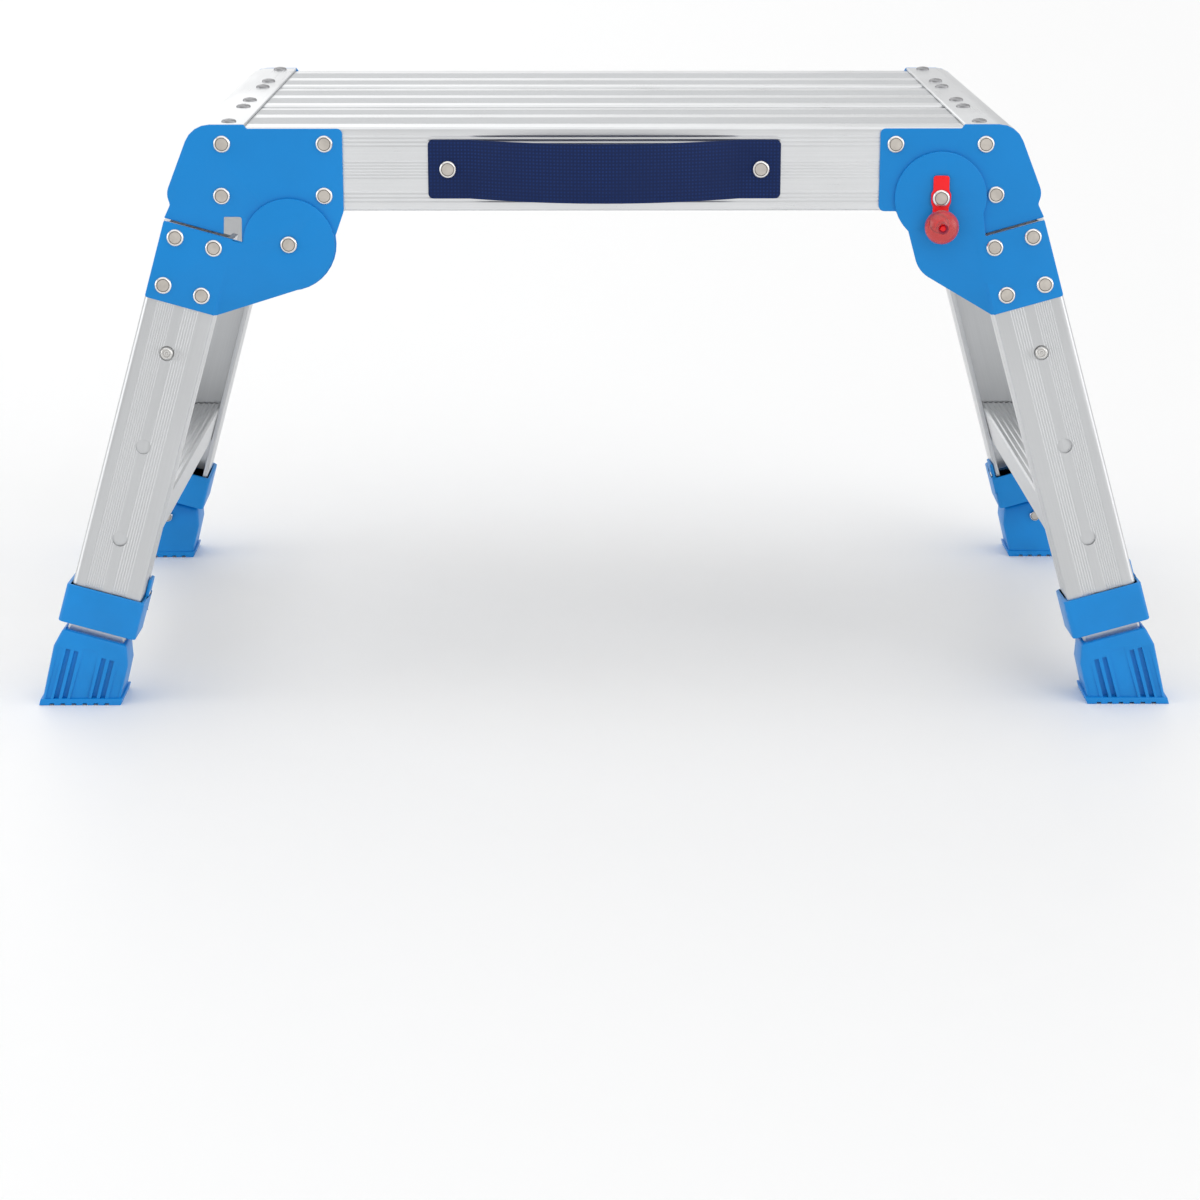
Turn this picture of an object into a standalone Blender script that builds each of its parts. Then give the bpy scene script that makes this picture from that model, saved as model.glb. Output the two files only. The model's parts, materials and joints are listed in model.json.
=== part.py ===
# Folding work platform: a planked aluminium deck on two splayed leg frames that fold under it,
# with telescopic feet, pull locks and a strap handle on each side rail.
# Metres, +Z up, +X along the deck, front at -Y. The origin is on the ground under the deck's middle.

import math

import bmesh
import bpy
from mathutils import Matrix, Vector

# Overall
DECK_LENGTH = 0.663
DECK_DEPTH = 0.430
DECK_HEIGHT = 0.448
FIT = 0.0003                     # gap between pieces that lie on each other
PIN_CLEARANCE = 0.00008          # radial, between a pin and its hole

# Planks, the outer two with a side rail
PLANK_GAP = 0.017
PLANK_THICKNESS = 0.025
RAIL_HEIGHT = 0.0634
RAIL_WIDTH = 0.022
PLANK_WALL = 0.0022
PLANK_EDGE_RADIUS = 0.0025
PLANK_END_SETBACK = 0.0345       # end of a plank, back from the end profile's outermost line

# End profiles
STRIP_WIDTH = 0.0595             # from the flat strip's inner edge to the outermost line
STRIP_THICKNESS = 0.0020
PROFILE_BEND = 0.0199            # where the flat strip turns down, back from the outermost line
PROFILE_BEND_RADIUS = 0.020
PROFILE_NOSE_DROP = 0.052
PROFILE_NOSE_RADIUS = 0.014
PROFILE_HEIGHT = 0.066
SCREW_SETBACK = 0.0465
SCREW_HEAD_RADIUS = 0.0056
SCREW_HEAD_HEIGHT = 0.0024
SCREW_EDGE = 0.015               # from a plank's edge to its screw

# Leg frames
SPLAY = math.radians(15.7)       # lengthwise lean of a leg
FLARE = math.radians(4.2)        # sideways lean of a leg
LEG_LINE_SETBACK = 0.0449        # a leg's centre line at the deck's top, back from the outermost line
LEG_TOP_DROP = 0.0792            # deck top down to a leg's top end, on its centre line
LEG_WIDTH = 0.0543
LEG_DEPTH = 0.044
LEG_EDGE_RADIUS = 0.005
LEG_FACE_WALL = 0.0020
INNER_LEG_WIDTH = 0.0450
INNER_LEG_DEPTH = 0.0190
INNER_LEG_WALL = 0.0018
INNER_LEG_RADIUS = 0.003
SLIDE_FIT = 0.0004               # between the telescoping tubes, each side
COLLAR_HEIGHT = 0.0305
COLLAR_WALL = 0.0034
COLLAR_LIP = 0.0022
COLLAR_GAP = 0.0055              # bare tube between collar and foot
EAR_RISE = 0.013
EAR_DEPTH = 0.020
FOOT_HEIGHT = 0.056              # along the leg
FOOT_TOP = (0.054, 0.036)        # width and depth
FOOT_BASE = (0.0625, 0.046)
FOOT_BASE_SHIFT = 0.0026         # the base stands this much nearer to the deck's middle
FOOT_PROUD = 0.0040              # outer face of the foot beyond the outer tube's face
SOCKET_DEPTH = 0.030
TREAD_HEIGHT = 0.145             # ground to the step's top
TREAD_THICKNESS = 0.032
TREAD_WALL = 0.0020
TREAD_SIDE_FIT = 0.0003

# Height adjustment
HOLE_PITCH = 0.075
HOLE_COUNT = 3
LOWEST_HOLE_RISE = 0.0720        # above the outer tube's lower end
HOLE_RADIUS = 0.0058
BUTTON_RADIUS = 0.0046
BUTTON_PROUD = 0.0026
BUTTON_FLANGE = 0.0012
CLIP_STRIP = 0.0007
CLIP_WIDTH = 0.010
CLIP_LENGTH = 0.036
TUBE_ABOVE_BUTTON = 0.012

# Hinges. The left frame hangs lower than the right one, so that they stack when folded.
PIVOT_SETBACK = {"left": 0.0915, "right": 0.0765}
PIVOT_DROP = {"left": 0.0903, "right": 0.0550}
PLATE_THICKNESS = 0.0030
PLATE_INNER = {"left": 0.1335, "right": 0.1230}   # a hinge plate's inner edge, back from the outermost line
PLATE_CORNER = 0.004
PLATE_DISC = {"left": 0.036, "right": 0.035}
BRACKET_DISC = 0.035
BRACKET_LENGTH = 0.0597          # how far a bracket covers its leg
BRACKET_SLOT = 0.0016            # between a hinge plate and the bracket below it
JOGGLE = 0.003                   # width of the step that carries a bracket out onto the flared leg
PIVOT_RADIUS = 0.0040
RIVET_HEAD_RADIUS = 0.0066
RIVET_HEAD_HEIGHT = 0.0019
PLATE_RIVETS = {                 # setback from the outermost line, drop below the deck's top
    "left": ((0.0427, 0.0145), (0.1199, 0.0145), (0.0413, 0.0537), (0.1190, 0.0537)),
    "right": ((0.0432, 0.0149), (0.1113, 0.0149), (0.0343, 0.0531)),
}
BRACKET_RIVET_ROWS = (0.0103, 0.0478)             # below the leg's top end
BRACKET_RIVET_SPREAD = 0.0150                     # each side of the leg's centre line

# Locks and handles
LOCK_OFFSET = 0.0205             # knob centre below its pivot
LEVER_WIDTH = 0.0120
LEVER_RISE = 0.0170
LEVER_THICKNESS = 0.0020
LEVER_EYE = 0.0080
LOCK_PIN_RADIUS = 0.0036
KNOB_RADIUS = 0.0130
KNOB_FLATTEN = 0.80
HANDLE_LENGTH = 0.267
HANDLE_HEIGHT = 0.0444
HANDLE_TOP_DROP = 0.0115
HANDLE_THICKNESS = 0.0028
HANDLE_BOW = 0.031
HANDLE_TAB = 0.031               # flat end
HANDLE_CORNER = 0.004
HANDLE_RIVET_INSET = 0.015
HANDLE_RIVET_RADIUS = 0.0030

ROUND_STEPS = 24
SIDES = {"left": -1, "right": 1}
FACES = {"front": -1, "rear": 1}
LOCKS = {("right", "front"), ("left", "rear")}

# Worked out from the sizes above
END_X = DECK_LENGTH / 2
RAIL_FACE = DECK_DEPTH / 2
PLANK_TOP = DECK_HEIGHT - STRIP_THICKNESS - FIT
PLANK_WIDTH = (DECK_DEPTH - 2 * PLANK_GAP) / 3
PLATE_FACE = RAIL_FACE + FIT + PLATE_THICKNESS
BRACKET_BACK = PLATE_FACE + FIT
BRACKET_FACE = BRACKET_BACK + PLATE_THICKNESS
LEG_FACE = BRACKET_BACK - FIT
LEG_REACH = (DECK_HEIGHT - LEG_TOP_DROP) / (math.cos(SPLAY) * math.cos(FLARE))
COLLAR_LOW = LEG_REACH - FOOT_HEIGHT - COLLAR_GAP
TUBE_LENGTH = COLLAR_LOW - COLLAR_LIP - FIT
LOWEST_HOLE = TUBE_LENGTH - LOWEST_HOLE_RISE
TOP_HOLE = LOWEST_HOLE - (HOLE_COUNT - 1) * HOLE_PITCH
BORE_WIDTH = INNER_LEG_WIDTH + 2 * SLIDE_FIT
BORE_DEPTH = INNER_LEG_DEPTH + 2 * SLIDE_FIT
BOX_DEPTH = BORE_DEPTH + 2 * LEG_FACE_WALL
INNER_FACE = -LEG_FACE_WALL - SLIDE_FIT
INNER_TOP = TOP_HOLE - CLIP_LENGTH - TUBE_ABOVE_BUTTON
FOOT_TOP_AT = LEG_REACH - FOOT_HEIGHT
HANDLE_MIDDLE = DECK_HEIGHT - HANDLE_TOP_DROP - HANDLE_HEIGHT / 2


def clear_scene():
    for obj in list(bpy.data.objects):
        bpy.data.objects.remove(obj, do_unlink=True)


def new_collection(name, helper=False):
    collection = bpy.data.collections.new(name)
    bpy.context.scene.collection.children.link(collection)
    return collection


clear_scene()
PARTS = new_collection("work_platform_bench")
CUTTERS = new_collection("cutters")


def material(name, colour, roughness, metallic=0.0, alpha=1.0):
    made = bpy.data.materials.new(name)
    made.use_nodes = True
    shader = made.node_tree.nodes["Principled BSDF"]
    shader.inputs["Base Color"].default_value = (*colour, 1.0)
    shader.inputs["Roughness"].default_value = roughness
    shader.inputs["Metallic"].default_value = metallic
    shader.inputs["Alpha"].default_value = alpha
    return made


DECK_ALUMINIUM = material("deck_aluminium", (0.80, 0.81, 0.82), 0.34, 1.0)
LEG_ALUMINIUM = material("leg_aluminium", (0.66, 0.67, 0.68), 0.38, 1.0)
BLUE_STEEL = material("blue_steel", (0.006, 0.245, 0.63), 0.42)
BLUE_PLASTIC = material("blue_plastic", (0.006, 0.26, 0.68), 0.46)
RIVET_STEEL = material("rivet_steel", (0.74, 0.72, 0.69), 0.28, 1.0)
RED_STEEL = material("red_steel", (0.88, 0.012, 0.02), 0.35)
RED_KNOB = material("red_knob", (0.85, 0.01, 0.02), 0.08, 0.0, 0.75)
NAVY_WEBBING = material("navy_webbing", (0.006, 0.022, 0.105), 0.72)
SPRING_STEEL = material("spring_steel", (0.62, 0.62, 0.60), 0.30, 1.0)


# Outlines: lists of (x, z), in which a corner may carry a third value, its radius.


def arc(centre, radius, start, end, steps=12):
    """Points from angle start to angle end, in degrees."""
    angles = [math.radians(start + (end - start) * i / steps) for i in range(steps + 1)]
    return [(centre[0] + radius * math.cos(a), centre[1] + radius * math.sin(a)) for a in angles]


def rounded(corners, steps=4):
    """The outline with each corner that carries a radius turned into an arc."""
    points = []
    for i, corner in enumerate(corners):
        if len(corner) == 2:
            points.append(corner)
            continue
        here = Vector(corner[:2])
        before = (Vector(corners[i - 1][:2]) - here).normalized()
        after = (Vector(corners[(i + 1) % len(corners)][:2]) - here).normalized()
        half = before.angle(after) / 2
        reach = corner[2] / math.tan(half)
        centre = here + (before + after).normalized() * corner[2] / math.sin(half)
        first = here + before * reach - centre
        last = here + after * reach - centre
        turn = first.angle_signed(last)
        for n in range(steps + 1):
            step = first.copy()
            step.rotate(Matrix.Rotation(-turn * n / steps, 2))
            points.append(tuple(centre + step))
    return points


def rectangle(low_x, low_y, high_x, high_y, radius=0.0):
    corners = [(low_x, low_y), (high_x, low_y), (high_x, high_y), (low_x, high_y)]
    return rounded([(*c, radius) for c in corners]) if radius else corners


def circle(centre, radius, steps=ROUND_STEPS):
    return arc(centre, radius, 0, 360 * (steps - 1) / steps, steps - 1)


# Solids


def finish(obj, finish_material, collection=PARTS, parent=None):
    collection.objects.link(obj)
    if finish_material:
        obj.data.materials.append(finish_material)
    if collection is CUTTERS:
        obj.hide_render = True
        obj.display_type = "WIRE"
    obj.data.shade_smooth()
    obj.data.set_sharp_from_angle(angle=math.radians(35))
    if parent:
        obj.parent = parent
        obj.matrix_parent_inverse = parent.matrix_world.inverted()
    return obj


def prism(name, loops, thickness, matrix, finish_material=None, collection=PARTS, parent=None):
    """A flat outline with its holes, thickened half each way along the matrix's own Z axis."""
    curve = bpy.data.curves.new(name, "CURVE")
    curve.dimensions = "2D"
    curve.fill_mode = "BOTH"
    curve.extrude = thickness / 2
    for loop in loops:
        spline = curve.splines.new("POLY")
        spline.points.add(len(loop) - 1)
        for point, (x, y) in zip(spline.points, loop):
            point.co = (x, y, 0, 1)
        spline.use_cyclic_u = True
    outline = bpy.data.objects.new(name + "_outline", curve)
    bpy.context.scene.collection.objects.link(outline)
    graph = bpy.context.evaluated_depsgraph_get()
    mesh = bpy.data.meshes.new_from_object(outline.evaluated_get(graph))
    bpy.data.objects.remove(outline)
    weld(mesh)
    mesh.name = name
    obj = bpy.data.objects.new(name, mesh)
    obj.matrix_world = matrix
    return finish(obj, finish_material, collection, parent)


def weld(mesh):
    made = bmesh.new()
    made.from_mesh(mesh)
    bmesh.ops.remove_doubles(made, verts=made.verts, dist=1e-6)
    bmesh.ops.recalc_face_normals(made, faces=made.faces)
    made.to_mesh(mesh)
    made.free()


def turned(name, profile, matrix, finish_material, collection=PARTS, parent=None):
    """A round piece about the matrix's Z axis from its (radius, height) profile, top to bottom."""
    mesh = bpy.data.meshes.new(name)
    made = bmesh.new()
    points = [made.verts.new((radius, 0, height)) for radius, height in profile]
    for first, second in zip(points, points[1:]):
        made.edges.new((first, second))
    made.to_mesh(mesh)
    made.free()
    obj = bpy.data.objects.new(name, mesh)
    obj.matrix_world = matrix
    screw = obj.modifiers.new("turn", "SCREW")
    screw.steps = ROUND_STEPS
    screw.render_steps = ROUND_STEPS
    screw.use_merge_vertices = True
    screw.merge_threshold = 0.00001
    return finish(obj, finish_material, collection, parent)


def pegs(name, radius, length, matrices, top_radius=None, steps=ROUND_STEPS):
    """Round bars, each centred on its matrix and running along the matrix's Z axis, as one helper."""
    made = bmesh.new()
    for matrix in matrices:
        bmesh.ops.create_cone(
            made, cap_ends=True, segments=steps, radius1=radius,
            radius2=radius if top_radius is None else top_radius, depth=length, matrix=matrix,
        )
    mesh = bpy.data.meshes.new(name)
    made.to_mesh(mesh)
    made.free()
    return finish(bpy.data.objects.new(name, mesh), None, CUTTERS)


def block(name, low, high, matrix=Matrix()):
    """A box helper between two corners."""
    middle = (Vector(low) + Vector(high)) / 2
    size = Matrix.Diagonal((*(Vector(high) - Vector(low)), 1))
    made = bmesh.new()
    bmesh.ops.create_cube(made, size=1, matrix=matrix @ Matrix.Translation(middle) @ size)
    mesh = bpy.data.meshes.new(name)
    made.to_mesh(mesh)
    made.free()
    return finish(bpy.data.objects.new(name, mesh), None, CUTTERS)


def combine(obj, helper, operation):
    boolean = obj.modifiers.new(helper.name, "BOOLEAN")
    boolean.object = helper
    boolean.operation = operation


def cut(obj, helper):
    combine(obj, helper, "DIFFERENCE")


def join(obj, helper):
    combine(obj, helper, "UNION")


def empty(name, location, parent=None):
    made = bpy.data.objects.new(name, None)
    made.empty_display_size = 0.03
    made.location = location
    PARTS.objects.link(made)
    bpy.context.view_layer.update()
    if parent:
        made.parent = parent
        made.matrix_parent_inverse = parent.matrix_world.inverted()
    return made


# Frames of reference


def upright(x, y, z):
    """Outlines in the XZ plane, thickened along Y."""
    return Matrix.Translation((x, y, z)) @ Matrix.Rotation(math.radians(90), 4, "X")


def along_x(x=0.0):
    """Outlines in the YZ plane, thickened along X."""
    return Matrix.Translation((x, 0, 0)) @ Matrix(((0, 0, 1, 0), (1, 0, 0, 0), (0, 1, 0, 0), (0, 0, 0, 1)))


def facing(x, y, z, face):
    """Z axis pointing out of the front (-1) or the rear (1)."""
    return Matrix.Translation((x, y, z)) @ Matrix.Rotation(math.radians(-90 * face), 4, "X")


def leg_frame(side, face):
    """Origin at the leg's top end on its outer face, Z up the leg and Y out of its outer face.
    X times hand(side, face) points towards the end of the deck."""
    down = Vector((side * math.sin(SPLAY), 0, -math.cos(SPLAY)))
    axis = down * math.cos(FLARE) + Vector((0, face, 0)) * math.sin(FLARE)
    out = Vector((0, face, 0)) * math.cos(FLARE) - down * math.sin(FLARE)
    across = out.cross(-axis)
    frame = Matrix((across, out, -axis)).transposed().to_4x4()
    x = side * (END_X - LEG_LINE_SETBACK + LEG_TOP_DROP * math.tan(SPLAY))
    frame.translation = (x, face * LEG_FACE, DECK_HEIGHT - LEG_TOP_DROP)
    return frame


def hand(side, face):
    return side * face


def leg_point(across, along, radius=None):
    """A point on a leg seen from the side, as (distance from the deck's middle, height)."""
    x = END_X - LEG_LINE_SETBACK + LEG_TOP_DROP * math.tan(SPLAY)
    x += across * math.cos(SPLAY) + along * math.sin(SPLAY)
    z = DECK_HEIGHT - LEG_TOP_DROP + across * math.sin(SPLAY) - along * math.cos(SPLAY)
    return (x, z) if radius is None else (x, z, radius)


def pivot(side_name):
    return END_X - PIVOT_SETBACK[side_name], DECK_HEIGHT - PIVOT_DROP[side_name]


# Deck


def outer_plank_section(face):
    """Plank and side rail in one extrusion, hollow."""
    top = PLANK_TOP
    inner = face * (RAIL_FACE - PLANK_WIDTH)
    outer = face * RAIL_FACE
    back = face * (RAIL_FACE - RAIL_WIDTH)
    radius = PLANK_EDGE_RADIUS
    low = top - RAIL_HEIGHT
    soffit = top - PLANK_THICKNESS
    wall = PLANK_WALL
    section = rounded([
        (inner, top, radius), (outer, top, radius), (outer, low, radius), (back, low, radius),
        (back, soffit), (inner, soffit, radius),
    ])
    web = face * (RAIL_FACE - RAIL_WIDTH - (PLANK_WIDTH - RAIL_WIDTH) / 2)
    cells = [
        rectangle(inner + face * wall, soffit + wall, web - face * wall / 2, top - wall),
        rectangle(web + face * wall / 2, soffit + wall, back - face * wall / 2, top - wall),
        rectangle(back + face * wall, low + wall, outer - face * wall, top - wall),
    ]
    return [section] + cells


def middle_plank_section():
    half = PLANK_WIDTH / 2
    soffit = PLANK_TOP - PLANK_THICKNESS
    wall = PLANK_WALL
    section = rectangle(-half, soffit, half, PLANK_TOP, PLANK_EDGE_RADIUS)
    cells = [
        rectangle(-half + wall, soffit + wall, -wall / 2, PLANK_TOP - wall),
        rectangle(wall / 2, soffit + wall, half - wall, PLANK_TOP - wall),
    ]
    return [section] + cells


def handle_rivet_x():
    return HANDLE_LENGTH / 2 - HANDLE_RIVET_INSET


def make_planks():
    length = 2 * (END_X - PLANK_END_SETBACK)
    prism("middle_plank", middle_plank_section(), length, along_x(), DECK_ALUMINIUM)
    for face_name, face in FACES.items():
        plank = prism(face_name + "_plank", outer_plank_section(face), length, along_x(), DECK_ALUMINIUM)
        y = face * (RAIL_FACE - PLANK_WALL / 2)
        holes = [facing(x, y, HANDLE_MIDDLE, face) for x in (-handle_rivet_x(), handle_rivet_x())]
        cut(plank, pegs(face_name + "_handle_holes", HANDLE_RIVET_RADIUS + PIN_CLEARANCE, 2 * PLANK_WALL, holes))
        x, z = pivot("right")
        bore = [facing(x, y, z, face)]
        cut(plank, pegs(face_name + "_pivot_bore", PIVOT_RADIUS + PIN_CLEARANCE, 2 * PLANK_WALL, bore))


def profile_line(inward=0.0):
    """The end profile's outer line, or the same line moved inward by the sheet's thickness."""
    strip = END_X - STRIP_WIDTH
    slope = PROFILE_BEND / PROFILE_NOSE_DROP
    nose = END_X + 0.001 - inward
    bend = END_X - PROFILE_BEND - inward * (math.hypot(1, slope) - slope)
    foot = END_X - 0.003 - inward
    return [
        (strip, DECK_HEIGHT - inward),
        (bend, DECK_HEIGHT - inward, PROFILE_BEND_RADIUS - inward),
        (nose, DECK_HEIGHT - PROFILE_NOSE_DROP, PROFILE_NOSE_RADIUS - inward),
        (foot, DECK_HEIGHT - PROFILE_HEIGHT),
    ]


def screw_places():
    """Each plank has two screws at each end, one near each long edge."""
    outer = [RAIL_FACE - SCREW_EDGE, RAIL_FACE - PLANK_WIDTH + SCREW_EDGE]
    middle = [PLANK_WIDTH / 2 - SCREW_EDGE]
    return [sign * y for y in outer + middle for sign in (-1, 1)]


def make_end_profiles():
    for side_name, side in SIDES.items():
        outer_line = rounded(profile_line(), 6)
        inner_line = rounded(profile_line(STRIP_THICKNESS), 6)
        section = [(side * x, z) for x, z in outer_line + inner_line[::-1]]
        profile = prism(side_name + "_end_profile", [section], DECK_DEPTH, upright(0, 0, 0), DECK_ALUMINIUM)
        x = side * (END_X - SCREW_SETBACK)
        z = DECK_HEIGHT + SCREW_HEAD_HEIGHT / 2 - STRIP_THICKNESS / 4
        heads = [Matrix.Translation((x, y, z)) for y in screw_places()]
        length = SCREW_HEAD_HEIGHT + STRIP_THICKNESS / 2
        name = side_name + "_screw_heads"
        join(profile, pegs(name, SCREW_HEAD_RADIUS, length, heads, SCREW_HEAD_RADIUS * 0.6, 12))


# Hinges


def hinge_outline(side_name):
    top = DECK_HEIGHT
    strip = END_X - STRIP_WIDTH
    inner = END_X - PLATE_INNER[side_name]
    rail_low = PLANK_TOP - RAIL_HEIGHT
    centre = pivot(side_name)
    radius = PLATE_DISC[side_name]
    outline = profile_line()[:3]
    outline += [leg_point(LEG_WIDTH / 2 - 0.002, -0.0125, 0.004), leg_point(LEG_WIDTH / 2, -BRACKET_SLOT)]
    slot_end = leg_point(-LEG_WIDTH * 0.36, -BRACKET_SLOT)
    outline.append(slot_end)
    if side_name == "left":
        window = slot_end[0] - 0.0140
        outline += [(slot_end[0] - 0.0005, rail_low - 0.004, 0.001), (window, rail_low - 0.004, 0.002)]
        outline += arc(centre, radius, 2, -190, 20)
        outline.append((inner, rail_low, 0.010))
    else:
        drop = centre[1] - rail_low
        meet = math.degrees(math.asin(drop / radius))
        outline += arc(centre, radius, -62, meet - 180, 12)
        outline.append((inner, rail_low, PLATE_CORNER))
    plate_top = PLANK_TOP - 0.0008
    outline += [(inner, plate_top, PLATE_CORNER), (strip - 0.002, plate_top)]
    return rounded(outline)


def rivet_heads(name, places, face, y):
    """Flat rivet heads standing out of a plate whose outer face is at y."""
    length = RIVET_HEAD_HEIGHT + PLATE_THICKNESS / 2
    middle = face * (y + RIVET_HEAD_HEIGHT - length / 2)
    matrices = [facing(x, middle, z, face) for x, z in places]
    return pegs(name, RIVET_HEAD_RADIUS, length, matrices, RIVET_HEAD_RADIUS - 0.0007, 16)


def make_hinge_plate(side_name, side, face_name, face):
    name = f"{side_name}_{face_name}_hinge_plate"
    x, z = pivot(side_name)
    loops = [hinge_outline(side_name), circle((x, z), PIVOT_RADIUS + PIN_CLEARANCE)]
    if (side_name, face_name) in LOCKS:
        loops.append(circle((x, z - LOCK_OFFSET), LOCK_PIN_RADIUS + PIN_CLEARANCE))
    loops = [[(side * px, pz) for px, pz in loop] for loop in loops]
    y = face * (PLATE_FACE - PLATE_THICKNESS / 2)
    plate = prism(name, loops, PLATE_THICKNESS, upright(0, y, 0), BLUE_STEEL)
    places = [(side * (END_X - back), DECK_HEIGHT - drop) for back, drop in PLATE_RIVETS[side_name]]
    join(plate, rivet_heads(name + "_rivets", places, face, PLATE_FACE))


def tangent_angle(point, centre, radius):
    """Where a line from point touches the circle, on its inner side, in degrees."""
    reach = Vector(point) - Vector(centre)
    return math.degrees(math.atan2(reach.y, reach.x) - math.acos(radius / reach.length))


def bracket_outline(side_name):
    centre = pivot(side_name)
    half = LEG_WIDTH / 2
    tip = leg_point(-half - JOGGLE * 0.85, BRACKET_LENGTH)
    outline = [leg_point(half - 0.0005, 0.0), leg_point(half - 0.0005, BRACKET_LENGTH, 0.002), tip]
    if side_name == "left":
        outline += arc(centre, BRACKET_DISC, tangent_angle(tip, centre, BRACKET_DISC) + 360, 3, 24)
    else:
        outline.append(leg_point(-half - 0.0481, 0.0121, 0.022))
        outline += arc(centre, BRACKET_DISC, 227, -20, 24)
        outline.append(leg_point(-LEG_WIDTH * 0.36, 0.0))
    return rounded(outline, 6)


def joggle(mesh, side, face):
    """Carries the part of a bracket that lies on the leg outwards, to follow the leg's flare."""
    edge = -LEG_WIDTH / 2 - PIN_CLEARANCE
    start = edge - JOGGLE
    across = Vector((side * math.cos(SPLAY), math.sin(SPLAY), 0))
    along = Vector((side * math.sin(SPLAY), -math.cos(SPLAY), 0))
    x, z = leg_point(0, 0)
    origin = Vector((side * x, z, 0))
    made = bmesh.new()
    made.from_mesh(mesh)
    for point, normal in ((origin + across * start, across), (origin + across * edge, across), (origin, along)):
        everything = made.verts[:] + made.edges[:] + made.faces[:]
        bmesh.ops.bisect_plane(made, geom=everything, dist=1e-7, plane_co=point, plane_no=normal)
    for vert in made.verts:
        offset = Vector((vert.co.x, vert.co.y, 0)) - origin
        share = min(max((offset.dot(across) - start) / JOGGLE, 0), 1)
        vert.co.z -= face * share * max(offset.dot(along), 0) * math.tan(FLARE)
    bmesh.ops.triangulate(made, faces=made.faces)
    made.to_mesh(mesh)
    made.free()


def make_bracket(side_name, side, face_name, face, parent):
    name = f"{side_name}_{face_name}_leg_bracket"
    x, z = pivot(side_name)
    loops = [bracket_outline(side_name), circle((x, z), PIVOT_RADIUS + PIN_CLEARANCE)]
    if (side_name, face_name) in LOCKS:
        loops.append(circle((x, z - LOCK_OFFSET), LOCK_PIN_RADIUS + PIN_CLEARANCE))
    loops = [[(side * px, pz) for px, pz in loop] for loop in loops]
    y = face * (BRACKET_FACE - PLATE_THICKNESS / 2)
    bracket = prism(name, loops, PLATE_THICKNESS, upright(0, y, 0), BLUE_STEEL, parent=parent)
    joggle(bracket.data, side, face)
    frame = leg_frame(side, face)
    length = RIVET_HEAD_HEIGHT + PLATE_THICKNESS / 2
    y = (FIT + PLATE_THICKNESS) * math.cos(FLARE) + RIVET_HEAD_HEIGHT - length / 2
    turn = Matrix.Rotation(math.radians(-90), 4, "X")
    heads = [
        frame @ Matrix.Translation((shift, y, -row)) @ turn
        for row in BRACKET_RIVET_ROWS for shift in (-BRACKET_RIVET_SPREAD, BRACKET_RIVET_SPREAD)
    ]
    join(bracket, pegs(name + "_rivets", RIVET_HEAD_RADIUS, length, heads, RIVET_HEAD_RADIUS - 0.0007, 16))


def pin_profile(outer_head, radius, length, head=RIVET_HEAD_RADIUS, back_head=0.0060, height=RIVET_HEAD_HEIGHT):
    """A headed pin. Height 0 is under the outer head, and the back head starts at -length."""
    return [
        (0, height), (head - 0.0012, height), (head, height - 0.0009), (head, 0), (radius, 0),
        (radius, -length), (back_head, -length), (back_head, -length - outer_head), (0, -length - outer_head),
    ]


def make_pivot(side_name, side, face_name, face):
    x, z = pivot(side_name)
    seat = BRACKET_FACE + FIT
    if (side_name, face_name) in LOCKS:
        seat += LEVER_THICKNESS + FIT
    back = RAIL_FACE if side_name == "left" else RAIL_FACE - PLANK_WALL - FIT
    profile = pin_profile(0.0018, PIVOT_RADIUS, seat - back)
    turned(f"{side_name}_{face_name}_pivot_pin", profile, facing(side * x, face * seat, z, face), RIVET_STEEL)


# Locks


def make_lock(side_name, side, face_name, face):
    x, z = pivot(side_name)
    bulge = LEVER_WIDTH / 2 + 0.0015
    lever = [
        (x - LEVER_WIDTH / 2, z + LEVER_RISE, 0.002), (x + LEVER_WIDTH / 2, z + LEVER_RISE, 0.002),
        (x + LEVER_WIDTH / 2, z + 0.006), (x + bulge, z + 0.003), (x + bulge, z - 0.003),
        (x + LEVER_WIDTH / 2, z - 0.007),
    ]
    lever += arc((x, z - LOCK_OFFSET), LEVER_EYE, 40, -220, 16)
    lever += [(x - LEVER_WIDTH / 2, z - 0.007), (x - bulge, z - 0.003), (x - bulge, z + 0.003)]
    lever.append((x - LEVER_WIDTH / 2, z + 0.006))
    loops = [
        rounded(lever), circle((x, z), PIVOT_RADIUS + PIN_CLEARANCE),
        circle((x, z - LOCK_OFFSET), LOCK_PIN_RADIUS + PIN_CLEARANCE),
    ]
    loops = [[(side * px, pz) for px, pz in loop] for loop in loops]
    y = BRACKET_FACE + FIT + LEVER_THICKNESS / 2
    prism(f"{side_name}_lock_lever", loops, LEVER_THICKNESS, upright(0, face * y, 0), RED_STEEL)
    seat = BRACKET_FACE + 2 * FIT + LEVER_THICKNESS
    ball = arc((0, KNOB_RADIUS * KNOB_FLATTEN * 0.96), KNOB_RADIUS, 90, -73, 14)
    middle = KNOB_RADIUS * KNOB_FLATTEN * 0.96
    ball = [(max(r, 0), middle + (h - middle) * KNOB_FLATTEN) for r, h in ball]
    ball[0] = (0, ball[0][1])
    pin_end = -(seat - BRACKET_FACE - FIT)
    profile = ball + [(LOCK_PIN_RADIUS, ball[-1][1]), (LOCK_PIN_RADIUS, pin_end), (0, pin_end)]
    place = facing(side * x, face * seat, z - LOCK_OFFSET, face)
    turned(f"{side_name}_lock_knob", profile, place, RED_KNOB)


# Handles


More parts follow.
